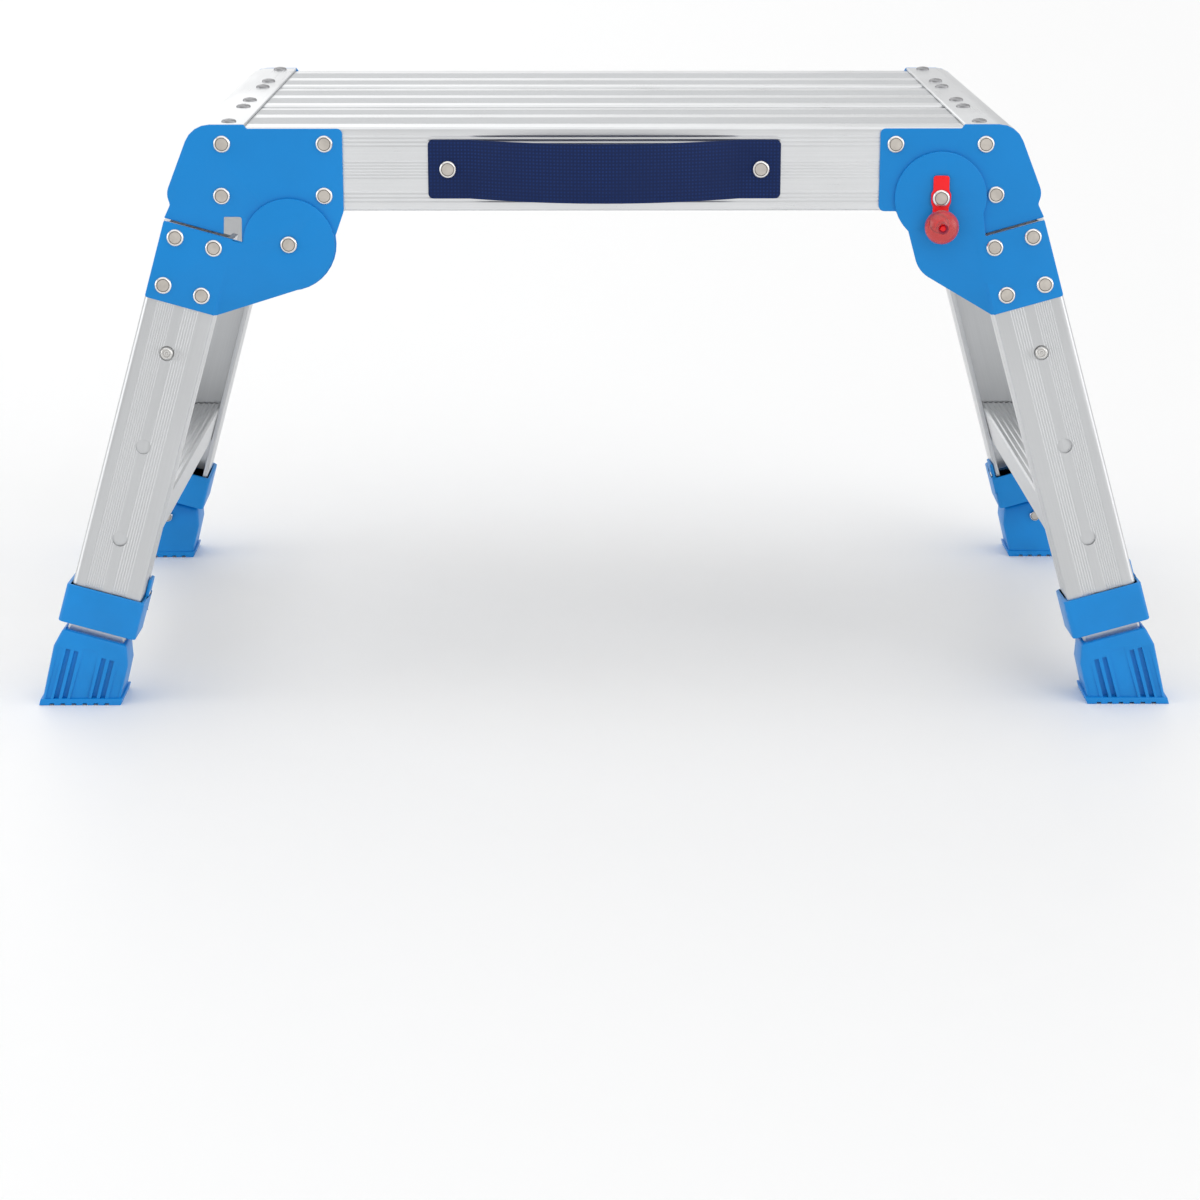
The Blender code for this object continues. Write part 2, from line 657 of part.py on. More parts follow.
def make_handle(face_name, face):
    half = HANDLE_LENGTH / 2
    tab = half - HANDLE_TAB
    steps = 20
    base = RAIL_FACE + FIT
    line = [(-half, base)]
    for i in range(steps + 1):
        x = -tab + 2 * tab * i / steps
        swell = math.sin(math.pi / 2 * (1 - abs(x) / tab) ** 0.8) ** 1.2
        line.append((x, base + (HANDLE_BOW - HANDLE_THICKNESS) * swell))
    line.append((half, base))
    outer = [(x, face * (y + HANDLE_THICKNESS)) for x, y in line]
    inner = [(x, face * y) for x, y in line]
    matrix = Matrix.Translation((0, 0, HANDLE_MIDDLE))
    strap = prism(face_name + "_handle", [outer + inner[::-1]], HANDLE_HEIGHT, matrix, NAVY_WEBBING)
    places = [(-handle_rivet_x(), HANDLE_MIDDLE), (handle_rivet_x(), HANDLE_MIDDLE)]
    holes = [facing(x, face * (base + HANDLE_THICKNESS / 2), z, face) for x, z in places]
    length = 2 * HANDLE_THICKNESS
    cut(strap, pegs(face_name + "_strap_holes", HANDLE_RIVET_RADIUS + PIN_CLEARANCE, length, holes))
    seat = base + HANDLE_THICKNESS + FIT
    profile = pin_profile(
        0.0015, HANDLE_RIVET_RADIUS, seat - RAIL_FACE + PLANK_WALL + FIT, RIVET_HEAD_RADIUS, 0.0048)
    for side_name, (x, z) in zip(SIDES, places):
        turned(f"{face_name}_{side_name}_handle_rivet", profile, facing(x, face * seat, z, face), RIVET_STEEL)


# Legs


def outer_tube_section(turn):
    """A box that the inner tube slides in, with two flanges that hold the step."""
    half = LEG_WIDTH / 2
    bore = BORE_WIDTH / 2
    section = rounded([
        (-turn * half, 0, 0.0015), (turn * half, 0, LEG_EDGE_RADIUS), (turn * half, -LEG_DEPTH, 0.001),
        (turn * bore, -LEG_DEPTH, 0.001), (turn * bore, -BOX_DEPTH), (-turn * bore, -BOX_DEPTH),
        (-turn * bore, -LEG_DEPTH, 0.001), (-turn * half, -LEG_DEPTH, 0.001),
    ])
    return [section, rectangle(-bore, -LEG_FACE_WALL - BORE_DEPTH, bore, -LEG_FACE_WALL)]


def make_outer_leg(side_name, side, face_name, face, parent):
    name = f"{side_name}_{face_name}_outer_leg"
    frame = leg_frame(side, face)
    matrix = frame @ Matrix.Translation((0, 0, -TUBE_LENGTH / 2))
    tube = prism(name, outer_tube_section(hand(side, face)), TUBE_LENGTH, matrix, LEG_ALUMINIUM, parent=parent)
    turn = Matrix.Rotation(math.radians(90), 4, "X")
    holes = [
        frame @ Matrix.Translation((0, -LEG_FACE_WALL / 2, -TOP_HOLE - n * HOLE_PITCH)) @ turn
        for n in range(HOLE_COUNT)
    ]
    cut(tube, pegs(name + "_holes", HOLE_RADIUS, 2 * LEG_FACE_WALL, holes, steps=20))


def make_collar(side_name, side, face_name, face, parent):
    """A socket on the tube's lower end, with a lip under it and an ear up the inner flange."""
    name = f"{side_name}_{face_name}_collar"
    frame = leg_frame(side, face)
    half = LEG_WIDTH / 2 + FIT
    outside = rectangle(-half - COLLAR_WALL, -LEG_DEPTH - FIT - COLLAR_WALL, half + COLLAR_WALL,
                        FIT + COLLAR_WALL, 0.004)
    inside = rectangle(-half, -LEG_DEPTH - FIT, half, FIT)
    matrix = frame @ Matrix.Translation((0, 0, -COLLAR_LOW + COLLAR_HEIGHT / 2))
    collar = prism(name, [outside, inside], COLLAR_HEIGHT, matrix, BLUE_PLASTIC, parent=parent)
    window = rectangle(-BORE_WIDTH / 2, -LEG_FACE_WALL - BORE_DEPTH, BORE_WIDTH / 2, -LEG_FACE_WALL)
    inset = COLLAR_WALL / 2
    sole = rectangle(-half - inset, -LEG_DEPTH - FIT - inset, half + inset, FIT + inset)
    lip = prism(name + "_lip", [sole, window], COLLAR_LIP,
                frame @ Matrix.Translation((0, 0, -COLLAR_LOW + COLLAR_LIP / 2)), collection=CUTTERS)
    join(collar, lip)
    top = -COLLAR_LOW + COLLAR_HEIGHT + EAR_RISE
    near, far = -half, -half - COLLAR_WALL * 0.8
    low = (far, -LEG_DEPTH - FIT - COLLAR_WALL / 2, -COLLAR_LOW + COLLAR_HEIGHT / 2)
    high = (near, -LEG_DEPTH - FIT - COLLAR_WALL / 2 + EAR_DEPTH, top)
    join(collar, block(name + "_ear", low, high, frame))


def make_tread(side_name, side, parent):
    """A hollow step between the front and rear legs, level while its ends follow the legs' lean."""
    half = (BORE_WIDTH / 2 - TREAD_SIDE_FIT) / math.cos(SPLAY)
    lean = math.tan(SPLAY)

    def centre_line(z):
        return END_X - LEG_LINE_SETBACK + (DECK_HEIGHT - z) * lean

    def ring(inset, z_low, z_high):
        shrink = half - inset / math.cos(SPLAY)
        corners = [
            (centre_line(z_low) - shrink, z_low), (centre_line(z_low) + shrink, z_low),
            (centre_line(z_high) + shrink, z_high), (centre_line(z_high) - shrink, z_high),
        ]
        return [(side * x, z) for x, z in corners]

    low = TREAD_HEIGHT - TREAD_THICKNESS
    outside = ring(0, low, TREAD_HEIGHT)
    inside = ring(TREAD_WALL, low + TREAD_WALL, TREAD_HEIGHT - TREAD_WALL)
    reach = (DECK_HEIGHT - LEG_TOP_DROP - TREAD_HEIGHT) / (math.cos(SPLAY) * math.cos(FLARE))
    end = LEG_FACE + reach * math.sin(FLARE) - (BOX_DEPTH + FIT) / math.cos(FLARE) - BORE_WIDTH * math.sin(FLARE) / 2
    prism(side_name + "_tread", [outside, inside], 2 * end, upright(0, 0, 0), LEG_ALUMINIUM, parent=parent)


def make_inner_leg(side_name, side, face_name, face, parent):
    name = f"{side_name}_{face_name}_inner_leg"
    frame = leg_frame(side, face)
    half = INNER_LEG_WIDTH / 2
    back = INNER_FACE - INNER_LEG_DEPTH
    wall = INNER_LEG_WALL
    outside = rectangle(-half, back, half, INNER_FACE, INNER_LEG_RADIUS)
    inside = rectangle(-half + wall, back + wall, half - wall, INNER_FACE - wall)
    bottom = FOOT_TOP_AT + SOCKET_DEPTH - FIT
    matrix = frame @ Matrix.Translation((0, 0, -(INNER_TOP + bottom) / 2))
    tube = prism(name, [outside, inside], bottom - INNER_TOP, matrix, LEG_ALUMINIUM, parent=parent)
    turn = Matrix.Rotation(math.radians(90), 4, "X")
    hole = frame @ Matrix.Translation((0, INNER_FACE - wall / 2, -TOP_HOLE)) @ turn
    cut(tube, pegs(name + "_button_hole", BUTTON_RADIUS + PIN_CLEARANCE, 2 * wall, [hole], steps=20))
    foot_hole = frame @ Matrix.Translation((0, back + wall / 2, -foot_rivet_at())) @ turn
    cut(tube, pegs(name + "_foot_hole", HANDLE_RIVET_RADIUS + PIN_CLEARANCE, 2 * wall, [foot_hole]))


def foot_rivet_at():
    return FOOT_TOP_AT + SOCKET_DEPTH * 0.45


def foot_back(at):
    """How far the foot's inner face stands behind the outer tube's face, at a distance down the leg."""
    share = (at - FOOT_TOP_AT) / FOOT_HEIGHT
    return FOOT_TOP[1] + (FOOT_BASE[1] - FOOT_TOP[1]) * share - FOOT_PROUD


def make_foot(side_name, side, face_name, face, parent):
    """A tapered shoe with a socket for the inner tube, cut level with the ground."""
    name = f"{side_name}_{face_name}_foot"
    frame = leg_frame(side, face)
    turn = hand(side, face)
    overrun = 0.4                # the shoe is drawn past the ground by this share, then cut level
    made = bmesh.new()
    bmesh.ops.create_cube(made, size=1)
    for vert in made.verts:
        share = 0.0 if vert.co.z > 0 else 1.0 + overrun
        width = FOOT_TOP[0] + (FOOT_BASE[0] - FOOT_TOP[0]) * share
        back = foot_back(FOOT_TOP_AT + FOOT_HEIGHT * share)
        x = vert.co.x * width - turn * FOOT_BASE_SHIFT * share
        y = FOOT_PROUD if vert.co.y > 0 else -back
        vert.co = frame @ Vector((x, y, -FOOT_TOP_AT - FOOT_HEIGHT * share))
    geometry = made.verts[:] + made.edges[:] + made.faces[:]
    level = bmesh.ops.bisect_plane(
        made, geom=geometry, dist=1e-7, plane_co=(0, 0, 0), plane_no=(0, 0, -1), clear_outer=True)
    edges = [item for item in level["geom_cut"] if isinstance(item, bmesh.types.BMEdge)]
    bmesh.ops.edgeloop_fill(made, edges=edges)
    bmesh.ops.recalc_face_normals(made, faces=made.faces)
    mesh = bpy.data.meshes.new(name)
    made.to_mesh(mesh)
    made.free()
    mesh.transform(frame.inverted())
    foot = bpy.data.objects.new(name, mesh)
    foot.matrix_world = frame
    finish(foot, BLUE_PLASTIC, parent=parent)
    half = INNER_LEG_WIDTH / 2 + FIT
    socket_back = INNER_FACE - INNER_LEG_DEPTH - FIT
    low = (-half, socket_back, -FOOT_TOP_AT - SOCKET_DEPTH)
    high = (half, INNER_FACE + FIT, -FOOT_TOP_AT + 0.01)
    cut(foot, block(name + "_socket", low, high, frame))
    turn_back = Matrix.Rotation(math.radians(90), 4, "X")
    deep = foot_back(foot_rivet_at())
    bore = frame @ Matrix.Translation((0, (socket_back - deep) / 2, -foot_rivet_at())) @ turn_back
    cut(foot, pegs(name + "_rivet_bore", HANDLE_RIVET_RADIUS + PIN_CLEARANCE, deep + socket_back + 0.004, [bore]))
    inner_wall = -(INNER_FACE - INNER_LEG_DEPTH + INNER_LEG_WALL)
    head = 0.0052
    seat = deep + head * (FOOT_BASE[1] - FOOT_TOP[1]) / FOOT_HEIGHT + FIT
    profile = pin_profile(0.0012, HANDLE_RIVET_RADIUS, seat - inner_wall + FIT, head, 0.0045)
    place = frame @ Matrix.Translation((0, -seat, -foot_rivet_at())) @ turn_back
    turned(f"{side_name}_{face_name}_foot_rivet", profile, place, RIVET_STEEL, parent=parent)


def make_button(side_name, side, face_name, face, parent):
    """A snap button on a folded leaf spring inside the inner tube."""
    name = f"{side_name}_{face_name}_snap_button"
    frame = leg_frame(side, face)
    front = INNER_FACE - INNER_LEG_WALL - FIT
    back = INNER_FACE - INNER_LEG_DEPTH + INNER_LEG_WALL + FIT
    flange = front - BUTTON_FLANGE
    strip = CLIP_STRIP
    top = CLIP_LENGTH
    near = [(flange, -0.008), (flange, 0.008), ((flange + back) / 2 + 0.002, top - 0.004),
            ((flange + back) / 2, top), ((flange + back) / 2 - 0.002, top - 0.004), (back + strip, 0.004),
            (back + strip, -0.014)]
    far = [(back, -0.014), (back, 0.004), ((flange + back) / 2 - 0.003, top - 0.003),
           ((flange + back) / 2, top + strip), ((flange + back) / 2 + 0.003, top - 0.003),
           (flange + strip, 0.0085), (flange + strip, -0.008)]
    side_view = Matrix(((0, 0, 1, 0), (1, 0, 0, 0), (0, 1, 0, 0), (0, 0, 0, 1)))
    matrix = frame @ Matrix.Translation((0, 0, -TOP_HOLE)) @ side_view
    button = prism(name, [near + far], CLIP_WIDTH, matrix, SPRING_STEEL, parent=parent)
    dome = [
        (0, BUTTON_PROUD), (BUTTON_RADIUS * 0.6, BUTTON_PROUD * 0.85), (BUTTON_RADIUS * 0.9, BUTTON_PROUD * 0.5),
        (BUTTON_RADIUS, 0), (BUTTON_RADIUS, front), (BUTTON_RADIUS + 0.0012, front),
        (BUTTON_RADIUS + 0.0012, flange + strip / 2), (0, flange + strip / 2),
    ]
    out = frame @ Matrix.Translation((0, 0, -TOP_HOLE)) @ Matrix.Rotation(math.radians(-90), 4, "X")
    join(button, turned(name + "_stud", dome, out, None, CUTTERS))


# Assembly


def main():
    make_planks()
    make_end_profiles()
    for side_name, side in SIDES.items():
        x, z = pivot(side_name)
        frame_pivot = empty(side_name + "_frame_pivot", (side * x, 0, z))
        make_tread(side_name, side, frame_pivot)
        for face_name, face in FACES.items():
            place = (side_name, side, face_name, face)
            make_hinge_plate(*place)
            make_pivot(*place)
            make_bracket(*place, frame_pivot)
            make_outer_leg(*place, frame_pivot)
            make_collar(*place, frame_pivot)
            slide = empty(f"{side_name}_{face_name}_leg_slide", leg_frame(side, face).translation, frame_pivot)
            make_inner_leg(*place, slide)
            make_foot(*place, slide)
            make_button(*place, slide)
            if (side_name, face_name) in LOCKS:
                make_lock(*place)
    for face_name, face in FACES.items():
        make_handle(face_name, face)


main()
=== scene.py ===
import json
import math

import bmesh
import bpy
from mathutils import Matrix, Vector


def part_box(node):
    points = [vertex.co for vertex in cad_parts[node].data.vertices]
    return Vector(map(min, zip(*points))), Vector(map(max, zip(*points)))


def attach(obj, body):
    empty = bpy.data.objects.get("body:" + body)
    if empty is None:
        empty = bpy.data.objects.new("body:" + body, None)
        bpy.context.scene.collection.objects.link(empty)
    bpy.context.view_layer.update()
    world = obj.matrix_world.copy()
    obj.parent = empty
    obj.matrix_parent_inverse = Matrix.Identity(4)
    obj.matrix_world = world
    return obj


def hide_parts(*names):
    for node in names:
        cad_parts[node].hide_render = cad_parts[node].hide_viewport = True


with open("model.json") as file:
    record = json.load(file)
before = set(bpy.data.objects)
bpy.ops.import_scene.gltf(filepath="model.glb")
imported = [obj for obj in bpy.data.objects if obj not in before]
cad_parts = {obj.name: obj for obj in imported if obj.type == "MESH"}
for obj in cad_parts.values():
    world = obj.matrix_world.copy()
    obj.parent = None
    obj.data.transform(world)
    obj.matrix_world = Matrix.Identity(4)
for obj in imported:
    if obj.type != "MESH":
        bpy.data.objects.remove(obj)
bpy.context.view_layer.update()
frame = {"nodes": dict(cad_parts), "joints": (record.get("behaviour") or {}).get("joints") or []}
nodes = frame["nodes"]
joints = {joint["name"]: joint for joint in frame["joints"]}
sides = {"left": -1, "right": 1}
faces = {"front": -1, "rear": 1}
mm = 0.001
cutReach = 1e-7     # how near a point counts as on a cut
sameLevel = 1e-5    # how near two points count as level
print("frame loaded,", len(nodes), "CAD nodes")


# Materials. Every pattern reads Object coordinates, and a Mapping node turns it to the piece.

def newFinish(name, colour, roughness, metallic=0.0, **sockets):
    finish = bpy.data.materials.new(name)
    finish.use_nodes = True
    shader = finish.node_tree.nodes["Principled BSDF"]
    shader.inputs["Base Color"].default_value = (*colour, 1)
    shader.inputs["Roughness"].default_value = roughness
    shader.inputs["Metallic"].default_value = metallic
    for socket, value in sockets.items():
        shader.inputs[socket.replace("_", " ")].default_value = value
    return finish


def addNode(finish, kind, links=None, **values):
    node = finish.node_tree.nodes.new(kind)
    for key, value in values.items():
        setattr(node, key, value)
    for socket, source in (links or {}).items():
        target = node.inputs[socket]
        if isinstance(source, bpy.types.NodeSocket):
            finish.node_tree.links.new(source, target)
        else:
            target.default_value = source
    return node


def plug(finish, source, socket):
    shader = finish.node_tree.nodes["Principled BSDF"]
    finish.node_tree.links.new(source, shader.inputs[socket])


def grain(finish, scale, stretch=(1, 1, 1), turn=(0, 0, 0), detail=3.0, roughness=0.55):
    place = addNode(finish, "ShaderNodeTexCoord")
    turned = addNode(finish, "ShaderNodeMapping", {"Vector": place.outputs["Object"], "Rotation": turn})
    drawn = addNode(finish, "ShaderNodeMapping", {"Vector": turned.outputs["Vector"], "Scale": stretch})
    links = {"Vector": drawn.outputs["Vector"], "Scale": scale, "Detail": detail, "Roughness": roughness}
    return addNode(finish, "ShaderNodeTexNoise", links).outputs["Fac"]


def spread(finish, source, low, high, fromLow=0.3, fromHigh=0.7):
    links = {"Value": source, "From Min": fromLow, "From Max": fromHigh, "To Min": low, "To Max": high}
    return addNode(finish, "ShaderNodeMapRange", links).outputs["Result"]


def tint(finish, source, dark, light):
    mixed = addNode(finish, "ShaderNodeMix", data_type="RGBA")
    finish.node_tree.links.new(source, mixed.inputs[0])
    mixed.inputs[6].default_value = (*dark, 1)
    mixed.inputs[7].default_value = (*light, 1)
    return mixed.outputs[2]


def bumps(finish, *heights):
    normal = None
    for source, strength, distance in heights:
        links = {"Height": source, "Strength": strength, "Distance": distance}
        if normal:
            links["Normal"] = normal
        normal = addNode(finish, "ShaderNodeBump", links).outputs["Normal"]
    plug(finish, normal, "Normal")


def shade(colour, factor):
    return tuple(min(channel * factor, 1) for channel in colour)


def drawnAluminium(name, values, along, turn=(0, 0, 0)):
    # extruded bar: fine die lines along it, a little cloudiness, soft handling marks
    colour = values["colour"]
    finish = newFinish(name, colour, values["roughness"], values["metallic"])
    lines = tuple(values["lineStretch"] if axis == along else 1 for axis in "xyz")
    dieLines = grain(finish, values["lineScale"], lines, turn, detail=4)
    clouds = grain(finish, 14, turn=turn, detail=2)
    marks = grain(finish, 160, (1, 1, 1), turn, detail=2)
    both = addNode(finish, "ShaderNodeMath", {0: dieLines, 1: clouds}, operation="ADD").outputs[0]
    half = addNode(finish, "ShaderNodeMath", {0: both, 1: 0.5}, operation="MULTIPLY").outputs[0]
    plug(finish, tint(finish, spread(finish, half, 0, 1, 0.35, 0.65), shade(colour, values["dark"]),
        shade(colour, 1.03)), "Base Color")
    plug(finish, spread(finish, half, values["roughness"] - 0.05, values["roughness"] + 0.07), "Roughness")
    bumps(finish, (dieLines, values["lineBump"], 0.0002), (marks, 0.02, 0.0002))
    return finish


def paintedSteel(name, values):
    colour = values["colour"]
    finish = newFinish(name, colour, values["roughness"], Specular_IOR_Level=values["shine"])
    peel = grain(finish, 420, detail=2)
    clouds = grain(finish, 9, detail=3)
    rubs = grain(finish, 55, (1, 1, 1), detail=5, roughness=0.7)
    plug(finish, tint(finish, spread(finish, clouds, 0, 1), shade(colour, 0.94), shade(colour, 1.05)),
        "Base Color")
    plug(finish, spread(finish, rubs, values["roughness"] - 0.06, values["roughness"] + 0.08), "Roughness")
    bumps(finish, (peel, 0.05, 0.0002), (clouds, 0.02, 0.0004))
    return finish


def mouldedPlastic(name, values):
    colour = values["colour"]
    finish = newFinish(name, colour, values["roughness"], Specular_IOR_Level=values["shine"])
    spark = grain(finish, 900, detail=2)
    flow = grain(finish, 20, detail=3)
    plug(finish, tint(finish, spread(finish, flow, 0, 1), shade(colour, 0.92), shade(colour, 1.06)),
        "Base Color")
    plug(finish, spread(finish, flow, values["roughness"] - 0.05, values["roughness"] + 0.07), "Roughness")
    bumps(finish, (spark, 0.14, 0.0002), (flow, 0.03, 0.0005))
    return finish


def turnedSteel(name, values):
    colour = values["colour"]
    finish = newFinish(name, colour, values["roughness"], values["metallic"])
    fine = grain(finish, 1400, (1, 1, 6), detail=3)
    clouds = grain(finish, 120, detail=2)
    plug(finish, tint(finish, spread(finish, clouds, 0, 1), shade(colour, 0.86), shade(colour, 1.06)),
        "Base Color")
    plug(finish, spread(finish, fine, values["roughness"] - 0.06, values["roughness"] + 0.1), "Roughness")
    bumps(finish, (fine, 0.06, 0.0001))
    return finish


def wovenWebbing(name, values):
    # rows of raised dots on the diagonal, as a coarse plain weave shows them; the dots are painted lighter, a
    # painted highlight that varies in patches
    colour = values["colour"]
    finish = newFinish(name, colour, values["roughness"], Specular_IOR_Level=0.25)
    place = addNode(finish, "ShaderNodeTexCoord").outputs["Object"]
    axes = addNode(finish, "ShaderNodeSeparateXYZ", {"Vector": place})

    def wave(operation):
        mixed = addNode(finish, "ShaderNodeMath", {0: axes.outputs["X"], 1: axes.outputs["Z"]},
            operation=operation)
        turns = math.pi / values["pitch"]
        scaled = addNode(finish, "ShaderNodeMath", {0: mixed.outputs[0], 1: turns}, operation="MULTIPLY")
        return addNode(finish, "ShaderNodeMath", {0: scaled.outputs[0]}, operation="SINE").outputs[0]

    product = addNode(finish, "ShaderNodeMath", {0: wave("ADD"), 1: wave("SUBTRACT")},
        operation="MULTIPLY").outputs[0]
    dots = spread(finish, product, 0, 1, 0.1, 0.95)
    fuzz = grain(finish, 1500, detail=3)
    dotHighlightPatches = grain(finish, 26, detail=3)
    lit = addNode(finish, "ShaderNodeMath", {0: dots, 1: spread(finish, dotHighlightPatches, 0.35, 1)},
        operation="MULTIPLY").outputs[0]
    plug(finish, tint(finish, lit, shade(colour, 0.82), shade(colour, values["dotLight"])), "Base Color")
    plug(finish, spread(finish, fuzz, values["roughness"] - 0.08, values["roughness"] + 0.1), "Roughness")
    bumps(finish, (dots, 0.35, 0.0004), (fuzz, 0.12, 0.0002))
    return finish


def clearPlastic(name, values):
    finish = newFinish(name, values["colour"], values["roughness"], Transmission_Weight=0.72, IOR=1.46)
    swirl = grain(finish, 90, detail=2)
    plug(finish, tint(finish, spread(finish, swirl, 0, 1), shade(values["colour"], 0.9),
        values["colour"]), "Base Color")
    plug(finish, spread(finish, swirl, values["roughness"], values["roughness"] + 0.05), "Roughness")
    bumps(finish, (swirl, 0.03, 0.0005))
    return finish


aluminiumLook = {
    "deck": {"colour": (0.76, 0.77, 0.78), "roughness": 0.30, "metallic": 0.95, "lineScale": 900,
        "lineStretch": 0.012, "lineBump": 0.05, "dark": 0.94},
    # ribs: the darker grey of the rib bands is painted shade, standing in for the shade the grooves cast on
    # themselves
    "ribs": {"colour": (0.56, 0.57, 0.58), "roughness": 0.36, "metallic": 0.9, "lineScale": 900,
        "lineStretch": 0.012, "lineBump": 0.05, "dark": 0.94},
    "leg": {"colour": (0.62, 0.63, 0.64), "roughness": 0.34, "metallic": 0.95, "lineScale": 900,
        "lineStretch": 0.012, "lineBump": 0.035, "dark": 0.965},
}
paintLook = {
    "blue": {"colour": (0.002, 0.235, 0.640), "roughness": 0.36, "shine": 0.30},
    "red": {"colour": (0.95, 0.010, 0.016), "roughness": 0.32, "shine": 0.35},
}
plasticLook = {"colour": (0.002, 0.240, 0.660), "roughness": 0.40, "shine": 0.35}
steelLook = {
    "rivet": {"colour": (0.86, 0.84, 0.82), "roughness": 0.20, "metallic": 1.0},
    # face: the darker beige of each head's flat middle is a painted reflection
    "face": {"colour": (0.60, 0.56, 0.51), "roughness": 0.44, "metallic": 0.7},
    # groove: the near black of the fine groove round each head is painted shade
    "groove": {"colour": (0.20, 0.18, 0.16), "roughness": 0.5, "metallic": 0.8},
    "spring": {"colour": (0.72, 0.71, 0.69), "roughness": 0.22, "metallic": 1.0},
    "screw": {"colour": (0.36, 0.36, 0.37), "roughness": 0.32, "metallic": 0.9},
}
# dotLight: how much lighter the painted highlight on the weave's dots is
webbingLook = {"colour": (0.004, 0.018, 0.092), "roughness": 0.72, "pitch": 2.6 * mm, "dotLight": 1.9}
knobLook = {"colour": (1.0, 0.20, 0.20), "roughness": 0.06}

legLean = math.atan2(abs(joints["right_front_extend"]["axis"][0]),
    abs(joints["right_front_extend"]["axis"][2]))


def legTurn(side, face):
    # turns object space so that the leg's length lies along Z and its outer face looks along Y
    name = side + "_" + face
    up = -Vector(joints[name + "_extend"]["axis"]).normalized()
    out = -Vector(joints[name + "_press"]["axis"]).normalized()
    return Matrix((out.cross(up), out, up)).to_euler("XYZ")


finishes = {
    "deck": drawnAluminium("deckAluminium", aluminiumLook["deck"], "x"),
    "deckEnd": drawnAluminium("deckEndAluminium", aluminiumLook["deck"], "y"),
    "step": drawnAluminium("stepAluminium", aluminiumLook["leg"], "y"),
    "deckRibsPaintedShade": drawnAluminium("ribbedAluminiumPaintedShade", aluminiumLook["ribs"], "x"),
    "bluePaint": paintedSteel("bluePaint", paintLook["blue"]),
    "redPaint": paintedSteel("redPaint", paintLook["red"]),
    "bluePlastic": mouldedPlastic("bluePlastic", plasticLook),
    "rivet": turnedSteel("rivetSteel", steelLook["rivet"]),
    "rivetFacePaintedReflection": turnedSteel("rivetFacePaintedReflection", steelLook["face"]),
    "groove": turnedSteel("rivetGroovePaintedShade", steelLook["groove"]),
    "spring": turnedSteel("springSteel", steelLook["spring"]),
    "screw": turnedSteel("screwSteel", steelLook["screw"]),
    "webbing": wovenWebbing("navyWebbing", webbingLook),
    "knob": clearPlastic("clearRed", knobLook),
}
for side in sides:
    for face in faces:
        look = aluminiumLook["leg"]
        finishes[side + face] = drawnAluminium(f"{side}{face.title()}Aluminium", look, "z",
            legTurn(side, face))
print("materials made,", len(finishes))


# Working helpers

def addPiece(bm, name, body, finish, replaced=(), smoothBelow=38):
    bmesh.ops.recalc_face_normals(bm, faces=bm.faces)
    mesh = bpy.data.meshes.new(name)
    bm.to_mesh(mesh)
    bm.free()
    for entry in [finish] if isinstance(finish, str) else finish:
        mesh.materials.append(finishes[entry])
    mesh.shade_smooth()
    mesh.set_sharp_from_angle(angle=math.radians(smoothBelow))
    piece = bpy.data.objects.new(name, mesh)
    bpy.context.scene.collection.objects.link(piece)
    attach(piece, body)
    if replaced:
        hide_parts(*replaced)
    return piece


def cadCopy(node):
    # a CAD node's mesh is loose triangles, so they are joined up and flat areas made one face
    bm = bmesh.new()
    bm.from_mesh(nodes[node].data)
    bmesh.ops.remove_doubles(bm, verts=bm.verts, dist=2e-6)
    bmesh.ops.dissolve_limit(bm, angle_limit=math.radians(0.5), verts=bm.verts, edges=bm.edges)
    return bm


def soften(bm, width, segments=2, above=30, edges=None):
    if edges is None:
        limit = math.radians(above)
        edges = [edge for edge in bm.edges if len(edge.link_faces) == 2 and edge.calc_face_angle(0) > limit]
    bmesh.ops.bevel(
        bm, geom=edges, offset=width, offset_type="OFFSET", segments=segments, profile=0.5,
        affect="EDGES", clamp_overlap=False, material=-1)
    return bm


def extrudeFaces(bm, travel):
    moved = bmesh.ops.extrude_face_region(bm, geom=bm.faces[:])["geom"]
    bmesh.ops.translate(
        bm, vec=travel, verts=[item for item in moved if isinstance(item, bmesh.types.BMVert)])
    bmesh.ops.recalc_face_normals(bm, faces=bm.faces)
    return bm


def barFrom(loops, toSpace, travel):
    # closed outlines in two dimensions, filled and drawn along one direction
    bm = bmesh.new()
    for loop in loops:
        verts = [bm.verts.new(toSpace(x, y)) for x, y in loop]
        for first, second in zip(verts, verts[1:] + verts[:1]):
            bm.edges.new((first, second))
    bmesh.ops.triangle_fill(bm, edges=bm.edges, use_beauty=True, use_dissolve=True)
    return extrudeFaces(bm, travel)


def lathe(profile, steps=40):
    bm = bmesh.new()
    verts = [bm.verts.new((radius, 0, height)) for radius, height in profile]
    edges = [bm.edges.new(pair) for pair in zip(verts, verts[1:])]
    bmesh.ops.spin(
        bm, geom=verts + edges, cent=(0, 0, 0), axis=(0, 0, 1), dvec=(0, 0, 0), angle=math.tau, steps=steps,
        use_merge=True, use_normal_flip=False, use_duplicate=False)
    bmesh.ops.remove_doubles(bm, verts=bm.verts, dist=1e-6)
    return bm


def repeated(shape, places):
    mesh = bpy.data.meshes.new("pattern")
    shape.to_mesh(mesh)
    shape.free()
    bm = bmesh.new()
    for place in places:
        count = len(bm.verts)
        bm.from_mesh(mesh)
        bm.verts.ensure_lookup_table()
        bmesh.ops.transform(bm, matrix=place, verts=bm.verts[count:])
    bpy.data.meshes.remove(mesh)
    return bm


